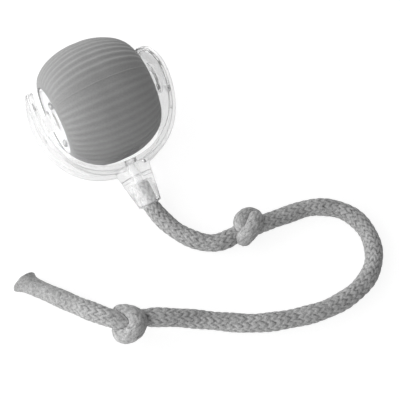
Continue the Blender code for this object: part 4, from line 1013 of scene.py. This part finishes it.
def yoke(material):
    """Bow, pivots and collar as one clear moulding."""
    obj = bow()
    pivot_profile = stepped(
        0, YOKE_WEB_HALF_SPAN - GAP,
        BOSS_COLLAR_RADIUS, YOKE_INNER_HALF_SPAN - BOSS_COLLAR_HEIGHT,
        BOSS_RADIUS, BOSS_END,
        JOURNAL_RADIUS, YOKE_JOURNAL_END,
        0,
    )
    outline = rounded(pivot_profile, SMALL_FILLET, False)
    for side in (1, -1):
        pivot = lathe(f"pivot_{side}", outline, axial_frame(YOKE_FRAME, side), False)
        apply_boolean(obj, pivot, "UNION")
    collar_profile = [
        (0, SEAM_REACH - GAP / 2),
        (SEAM_RADIUS, SEAM_REACH - GAP / 2),
        (COLLAR_RADIUS, YOKE_OUTER_REACH),
        (COLLAR_RADIUS, COLLAR_ROOT_REACH),
        (0, COLLAR_ROOT_REACH),
    ]
    collar = lathe("collar", rounded(collar_profile, FILLET, False), CONNECTOR_FRAME, False)
    apply_boolean(obj, collar, "UNION")
    pocket_profile = stepped(
        0, SEAM_REACH + CUT_OVERRUN,
        PIN_SHANK_RADIUS + GAP, PIN_SEAT,
        PIN_HEAD_RADIUS + GAP, YOKE_INNER_REACH - CUT_OVERRUN,
        0,
    )
    pocket = lathe("pocket", pocket_profile, CONNECTOR_FRAME, False)
    apply_boolean(obj, pocket, "DIFFERENCE")
    mended(obj, open_pocket)
    mended(obj, close_gaps)
    dress(obj, material, "yoke", ["yoke"])


def rope_socket(material):
    hole = PIN_SHANK_RADIUS + GAP
    profile = [
        (ROPE_BORE_RADIUS, SOCKET_END_REACH - 2 * SOCKET_MOUTH_FLARE),
        (ROPE_BORE_RADIUS + SOCKET_MOUTH_FLARE, SOCKET_END_REACH),
        (SOCKET_END_RADIUS - SOCKET_END_CHAMFER, SOCKET_END_REACH),
        (SOCKET_END_RADIUS, SOCKET_TOUCH_REACH),
        (SOCKET_WAIST_RADIUS, SOCKET_WAIST_REACH),
        (SEAM_RADIUS, SOCKET_TOP),
        (hole, SOCKET_TOP),
        (hole, BORE_END),
        (ROPE_BORE_RADIUS, BORE_END),
    ]
    obj = lathe("clear_socket", rounded(profile, SMALL_FILLET), CONNECTOR_FRAME)
    dress(obj, material, "socket", ["rope_socket"])


def swivel_pin(material):
    head = PIN_SEAT - GAP
    profile = stepped(
        0, PIN_FOOT + PIN_HEAD_HEIGHT / 2,
        PIN_HEAD_RADIUS, PIN_FOOT,
        PIN_SHANK_RADIUS, head,
        PIN_HEAD_RADIUS, head - PIN_HEAD_HEIGHT,
        0,
    )
    obj = lathe("clear_pin", rounded(profile, SMALL_FILLET, False), CONNECTOR_FRAME, False)
    dress(obj, material, "socket", ["swivel_pin"])


# Materials

def new_material(name):
    material = bpy.data.materials.new(name)
    material.use_nodes = True
    return material, material.node_tree, material.node_tree.nodes["Principled BSDF"]


def feed(tree, node, inputs):
    """Gives each named input of a node its value, or links it to an output."""
    for name, value in inputs.items():
        if isinstance(value, bpy.types.NodeSocket):
            tree.links.new(value, node.inputs[name])
        else:
            node.inputs[name].default_value = value


def added(tree, kind, inputs):
    node = tree.nodes.new(kind)
    feed(tree, node, inputs)
    return node


def noise(tree, size, detail, coordinates, roughness=0.55):
    """Cloudy grain whose patches are about so large."""
    inputs = {"Scale": 1 / size, "Detail": detail, "Roughness": roughness, "Vector": coordinates}
    return added(tree, "ShaderNodeTexNoise", inputs).outputs["Fac"]


def object_coordinates(tree, stretch=(1, 1, 1)):
    """Places on the piece itself, so that a pattern stays on it when it moves."""
    places = tree.nodes.new("ShaderNodeTexCoord").outputs["Object"]
    mapping = added(tree, "ShaderNodeMapping", {"Scale": stretch, "Vector": places})
    return mapping.outputs["Vector"]


def shade(tree, name):
    """A value kept at each point of the mesh."""
    node = tree.nodes.new("ShaderNodeAttribute")
    node.attribute_name = name
    return node.outputs["Fac"]


def ramp(tree, factor, stops):
    """A colour ramp with (position, grey or colour) stops."""
    node = added(tree, "ShaderNodeValToRGB", {"Fac": factor})
    elements = node.color_ramp.elements
    while len(elements) < len(stops):
        elements.new(1.0)
    for element, (position, color) in zip(elements, stops):
        tone = color if isinstance(color, tuple) else (color, color, color)
        element.position = position
        element.color = (*tone, 1)
    return node.outputs["Color"]


def bump(tree, height, strength, distance):
    inputs = {"Strength": strength, "Distance": distance, "Height": height}
    return added(tree, "ShaderNodeBump", inputs).outputs["Normal"]


def computed(tree, operation, first, second):
    node = tree.nodes.new("ShaderNodeMath")
    node.operation = operation
    feed(tree, node, {0: first, 1: second})
    return node.outputs["Value"]


def multiplied(tree, tone, *others):
    """A tone darkened by each of the others in turn."""
    for other in others:
        node = tree.nodes.new("ShaderNodeMix")
        node.data_type = "RGBA"
        node.blend_type = "MULTIPLY"
        feed(tree, node, {"Factor": 1.0, "A": tone, "B": other})
        tone = node.outputs["Result"]
    return tone


def show_mix(tree, output, factor, first, second):
    """Sends a mix of two shaders to the named output."""
    mix = added(tree, "ShaderNodeMixShader", {"Fac": factor, 1: first, 2: second})
    tree.links.new(mix.outputs["Shader"], tree.nodes[output].inputs["Surface"])


def rope_material():
    """Grey cotton with painted light on the stitches and painted shade between them, with fibres
    and fluff.
    """
    material, tree, shader = new_material("braided_cotton")
    # Painted light and shade: the stitch value makes the colour light on the ridges and dark
    # between them, and the breaks noise makes that uneven
    stitch_light_and_shade = shade(tree, "stitch")
    places = object_coordinates(tree)
    breaks = ramp(tree, noise(tree, ROPE_BREAK, 4, places, 0.7), [(0.35, 0.0), (0.65, 0.5)])
    uneven_stitch_shading = computed(tree, "ADD", stitch_light_and_shade, breaks)
    tone = ramp(tree, uneven_stitch_shading, [(0.05, 0.12), (0.5, 0.42), (0.95, 0.6)])
    yarn = ramp(tree, noise(tree, ROPE_YARN, 5, places, 0.7), [(0.35, 0.66), (0.65, 1.08)])
    patches = ramp(tree, noise(tree, ROPE_PATCH, 3, places), [(0.35, 0.84), (0.65, 1.05)])
    specks = ramp(tree, noise(tree, ROPE_SPECK, 3, places), [(0.32, 0.48), (0.45, 1.0)])
    fibres = noise(tree, ROPE_FIBRE, 5, places, 0.7)
    feed(tree, shader, {
        "Base Color": multiplied(tree, tone, yarn, patches, specks),
        "Roughness": 0.95,
        "Specular IOR Level": 0.15,
        "Sheen Weight": 0.25,
        "Sheen Roughness": 0.6,
        "Normal": bump(tree, fibres, 0.7, FIBRE_RELIEF),
    })
    return material


def silicone_material():
    """Matt grey rubber with faint dust, painted shade in the grooves between its ribs, cloudy
    sheen and a fine moulded grain.
    """
    material, tree, shader = new_material("grey_silicone")
    places = object_coordinates(tree)
    clouds = noise(tree, SILICONE_CLOUD, 4, places)
    specks = noise(tree, SILICONE_SPECK, 2, places)
    tone = ramp(tree, clouds, [(0.3, 0.32), (0.7, 0.355)])
    dust = ramp(tree, specks, [(0.35, 0.9), (0.65, 1.0)])
    # Painted shade: the colour is darker in the grooves between the ribs
    groove_shade = ramp(tree, shade(tree, "rib"), [(0.0, 0.87), (1.0, 1.0)])
    feed(tree, shader, {
        "Base Color": multiplied(tree, tone, dust, groove_shade),
        "Roughness": ramp(tree, clouds, [(0.3, 0.5), (0.7, 0.62)]),
        "Specular IOR Level": 0.4,
        "Normal": bump(tree, specks, 0.25, SILICONE_RELIEF),
    })
    return material


def clear_material(name, clearness, roughness, haze, edge_shade):
    """Clear moulded plastic: slightly milky, with painted shade that darkens it where it curves
    away from the camera, faintly wavy.
    """
    material, tree, shader = new_material(name)
    facing = added(tree, "ShaderNodeLayerWeight", {"Blend": 0.35}).outputs["Facing"]
    places = object_coordinates(tree)
    waves = noise(tree, CLEAR_WAVE, 2, places)
    marks = noise(tree, CLEAR_MARK, 3, places)
    feed(tree, shader, {
        # Painted shade: the colour darkens towards edges that turn away from the camera,
        # standing in for the dark outlines that refraction gives
        "Base Color": ramp(tree, facing, [(0.0, 0.99), (0.55, 0.97), (1.0, edge_shade)]),
        "Roughness": ramp(tree, marks, [(0.45, roughness), (0.75, roughness + haze)]),
        "Transmission Weight": clearness,
        "IOR": 1.49,
        "Normal": bump(tree, waves, 0.12, CLEAR_RELIEF),
    })
    through = added(tree, "ShaderNodeBsdfTransparent", {"Color": (0.93, 0.93, 0.94, 1)})
    in_shadow = tree.nodes.new("ShaderNodeLightPath").outputs["Is Shadow Ray"]
    solid = shader.outputs["BSDF"]
    show_mix(tree, "Material Output", in_shadow, solid, through.outputs["BSDF"])
    return material


def plastic_material(name, dark, light, roughness):
    """Moulded plastic with a slight mottle and a fine spark-eroded grain."""
    material, tree, shader = new_material(name)
    places = object_coordinates(tree)
    mottle = noise(tree, PLASTIC_MOTTLE, 3, places)
    grain = noise(tree, PLASTIC_GRAIN, 2, places)
    feed(tree, shader, {
        "Base Color": ramp(tree, mottle, [(0.3, dark), (0.7, light)]),
        "Roughness": ramp(tree, mottle, [(0.3, roughness), (0.7, roughness + 0.12)]),
        "Normal": bump(tree, grain, 0.2, PLASTIC_RELIEF),
    })
    return material


def metal_material(name, dark, light, roughness, stretch):
    """Turned or drawn metal: fine lines along one direction and a few dull spots."""
    material, tree, shader = new_material(name)
    lines = noise(tree, METAL_LINE, 4, object_coordinates(tree, stretch))
    spots = noise(tree, METAL_SPOT, 3, object_coordinates(tree))
    feed(tree, shader, {
        "Base Color": ramp(tree, spots, [(0.35, dark), (0.6, light)]),
        "Roughness": ramp(tree, lines, [(0.3, roughness), (0.7, roughness + 0.2)]),
        "Metallic": 1.0,
        "Normal": bump(tree, lines, 0.2, METAL_RELIEF),
    })
    return material


def board_material():
    """Green solder mask with the shadow of copper tracks under it."""
    material, tree, shader = new_material("solder_mask")
    places = object_coordinates(tree)
    tracks = added(tree, "ShaderNodeTexBrick", {
        "Scale": 1 / TRACK_PITCH,
        "Mortar Size": 0.06,
        "Color1": (0.02, 0.17, 0.08, 1),
        "Color2": (0.03, 0.21, 0.1, 1),
        "Mortar": (0.05, 0.3, 0.13, 1),
        "Vector": places,
    })
    mottle = noise(tree, TRACK_MOTTLE, 3, places)
    feed(tree, shader, {
        "Base Color": tracks.outputs["Color"],
        "Roughness": ramp(tree, mottle, [(0.3, 0.3), (0.7, 0.5)]),
        "Normal": bump(tree, tracks.outputs["Fac"], 0.3, TRACK_RELIEF),
    })
    return material


MATERIALS = {
    "cotton_rope": rope_material(),
    "silicone": silicone_material(),
    "clear_plastic": clear_material(
        "clear_moulding", clearness=0.86, roughness=0.03, haze=0.05, edge_shade=0.86
    ),
    "milky_plastic": clear_material(
        "milky_cap", clearness=0.55, roughness=0.3, haze=0.1, edge_shade=0.7
    ),
    "white_plastic": plastic_material("white_moulding", 0.68, 0.8, 0.35),
    "black_plastic": plastic_material("black_moulding", 0.03, 0.06, 0.4),
    "steel": metal_material("bright_steel", 0.45, 0.6, 0.22, (1, 1, 12)),
    "brass": metal_material(
        "plated_brass", (0.5, 0.49, 0.47), (0.68, 0.67, 0.65), 0.28, (12, 1, 1)
    ),
    "circuit_board": board_material(),
    "battery_wrap": plastic_material(
        "shrink_wrap", (0.09, 0.24, 0.46), (0.13, 0.32, 0.58), 0.22
    ),
    "led_lens": plastic_material("red_lens", (0.7, 0.1, 0.07), (0.9, 0.2, 0.15), 0.1),
}


def finish_of_nodes():
    """Every part of the model that still shows gets its slot's material."""
    for row in frame["record"]["subparts"]:
        obj = frame["nodes"].get(row["node"])
        if obj is None:
            continue
        slot = row["material_slot"]
        if row["node"].startswith("shell_"):
            slot = "milky_plastic"
        for place in obj.material_slots:
            place.material = MATERIALS[slot]


# Floor, world and light

def seen(tree, directly, through):
    """How white the surroundings are to the camera, and to rays sent on by glass or metal."""
    rays = tree.nodes.new("ShaderNodeLightPath").outputs
    straight = computed(tree, "MULTIPLY", rays["Is Camera Ray"], directly)
    glossy = computed(tree, "MULTIPLY", rays["Is Glossy Ray"], through)
    sent_on = computed(tree, "MULTIPLY", rays["Is Transmission Ray"], through)
    return computed(tree, "MAXIMUM", computed(tree, "MAXIMUM", straight, glossy), sent_on)


def floor():
    """A pale floor that photographs white and keeps a soft shadow."""
    side = FLOOR_HALF_SIDE
    corners = [(-side, -side), (side, -side), (side, side), (-side, side)]
    obj = plain_mesh("floor", [(x, y, -FLOOR_DROP) for x, y in corners], [(0, 1, 2, 3)])
    material, tree, shader = new_material("pale_floor")
    pale = {"Base Color": (0.8, 0.8, 0.8, 1), "Roughness": 0.9, "Specular IOR Level": 0.0}
    feed(tree, shader, pale)
    direct = tree.nodes.new("ShaderNodeLightPath").outputs["Is Camera Ray"]
    strengths = {"To Min": FLOOR_GLOW, "To Max": FLOOR_WHITE_GLOW, "Value": direct}
    strength = added(tree, "ShaderNodeMapRange", strengths).outputs["Result"]
    glow = added(tree, "ShaderNodeEmission", {"Strength": strength})
    factor = seen(tree, FLOOR_GLOW_SHARE, FLOOR_SEEN_THROUGH)
    plain = shader.outputs["BSDF"]
    show_mix(tree, "Material Output", factor, plain, glow.outputs["Emission"])
    obj.data.materials.append(material)


def world():
    """White where it is seen, and a dimmer grey where it lights the object."""
    sky = bpy.data.worlds.new("studio")
    bpy.context.scene.world = sky
    sky.use_nodes = True
    tree = sky.node_tree
    fill = tree.nodes["Background"]
    feed(tree, fill, {"Color": (1, 1, 1, 1), "Strength": WORLD_FILL})
    white = added(tree, "ShaderNodeBackground", {"Color": (1, 1, 1, 1)})
    factor = seen(tree, 1.0, WORLD_SEEN_THROUGH)
    dim = fill.outputs["Background"]
    show_mix(tree, "World Output", factor, dim, white.outputs["Background"])


def lamp(name, light):
    """A soft lamp on the photograph's left, so far ahead of the ball and above it."""
    right = view_axes()[0]
    ahead = Vector((-right.y, right.x, 0))
    direction = -right + light["ahead"] * ahead + Vector((0, 0, light["rise"]))
    direction.normalize()
    data = bpy.data.lights.new(name, "AREA")
    data.shape = "RECTANGLE"
    data.size, data.size_y = light["size"]
    data.energy = light["power"]
    place = BALL_CENTRE + direction * light["distance"]
    facing = direction.to_track_quat("Z", "Y").to_matrix().to_4x4()
    add_object(name, data).matrix_world = Matrix.Translation(place) @ facing


def build():
    bpy.context.scene.view_settings.view_transform = "Standard"
    camera()
    rope(MATERIALS["cotton_rope"])
    sleeve(MATERIALS["silicone"])
    for side_name, side in (("right", 1), ("left", -1)):
        end_cap(side_name, side, MATERIALS["milky_plastic"])
    for piece in (yoke, rope_socket, swivel_pin):
        piece(MATERIALS["clear_plastic"])
    finish_of_nodes()
    floor()
    world()
    lamp("key_light", KEY_LIGHT)
    lamp("top_light", TOP_LIGHT)


build()
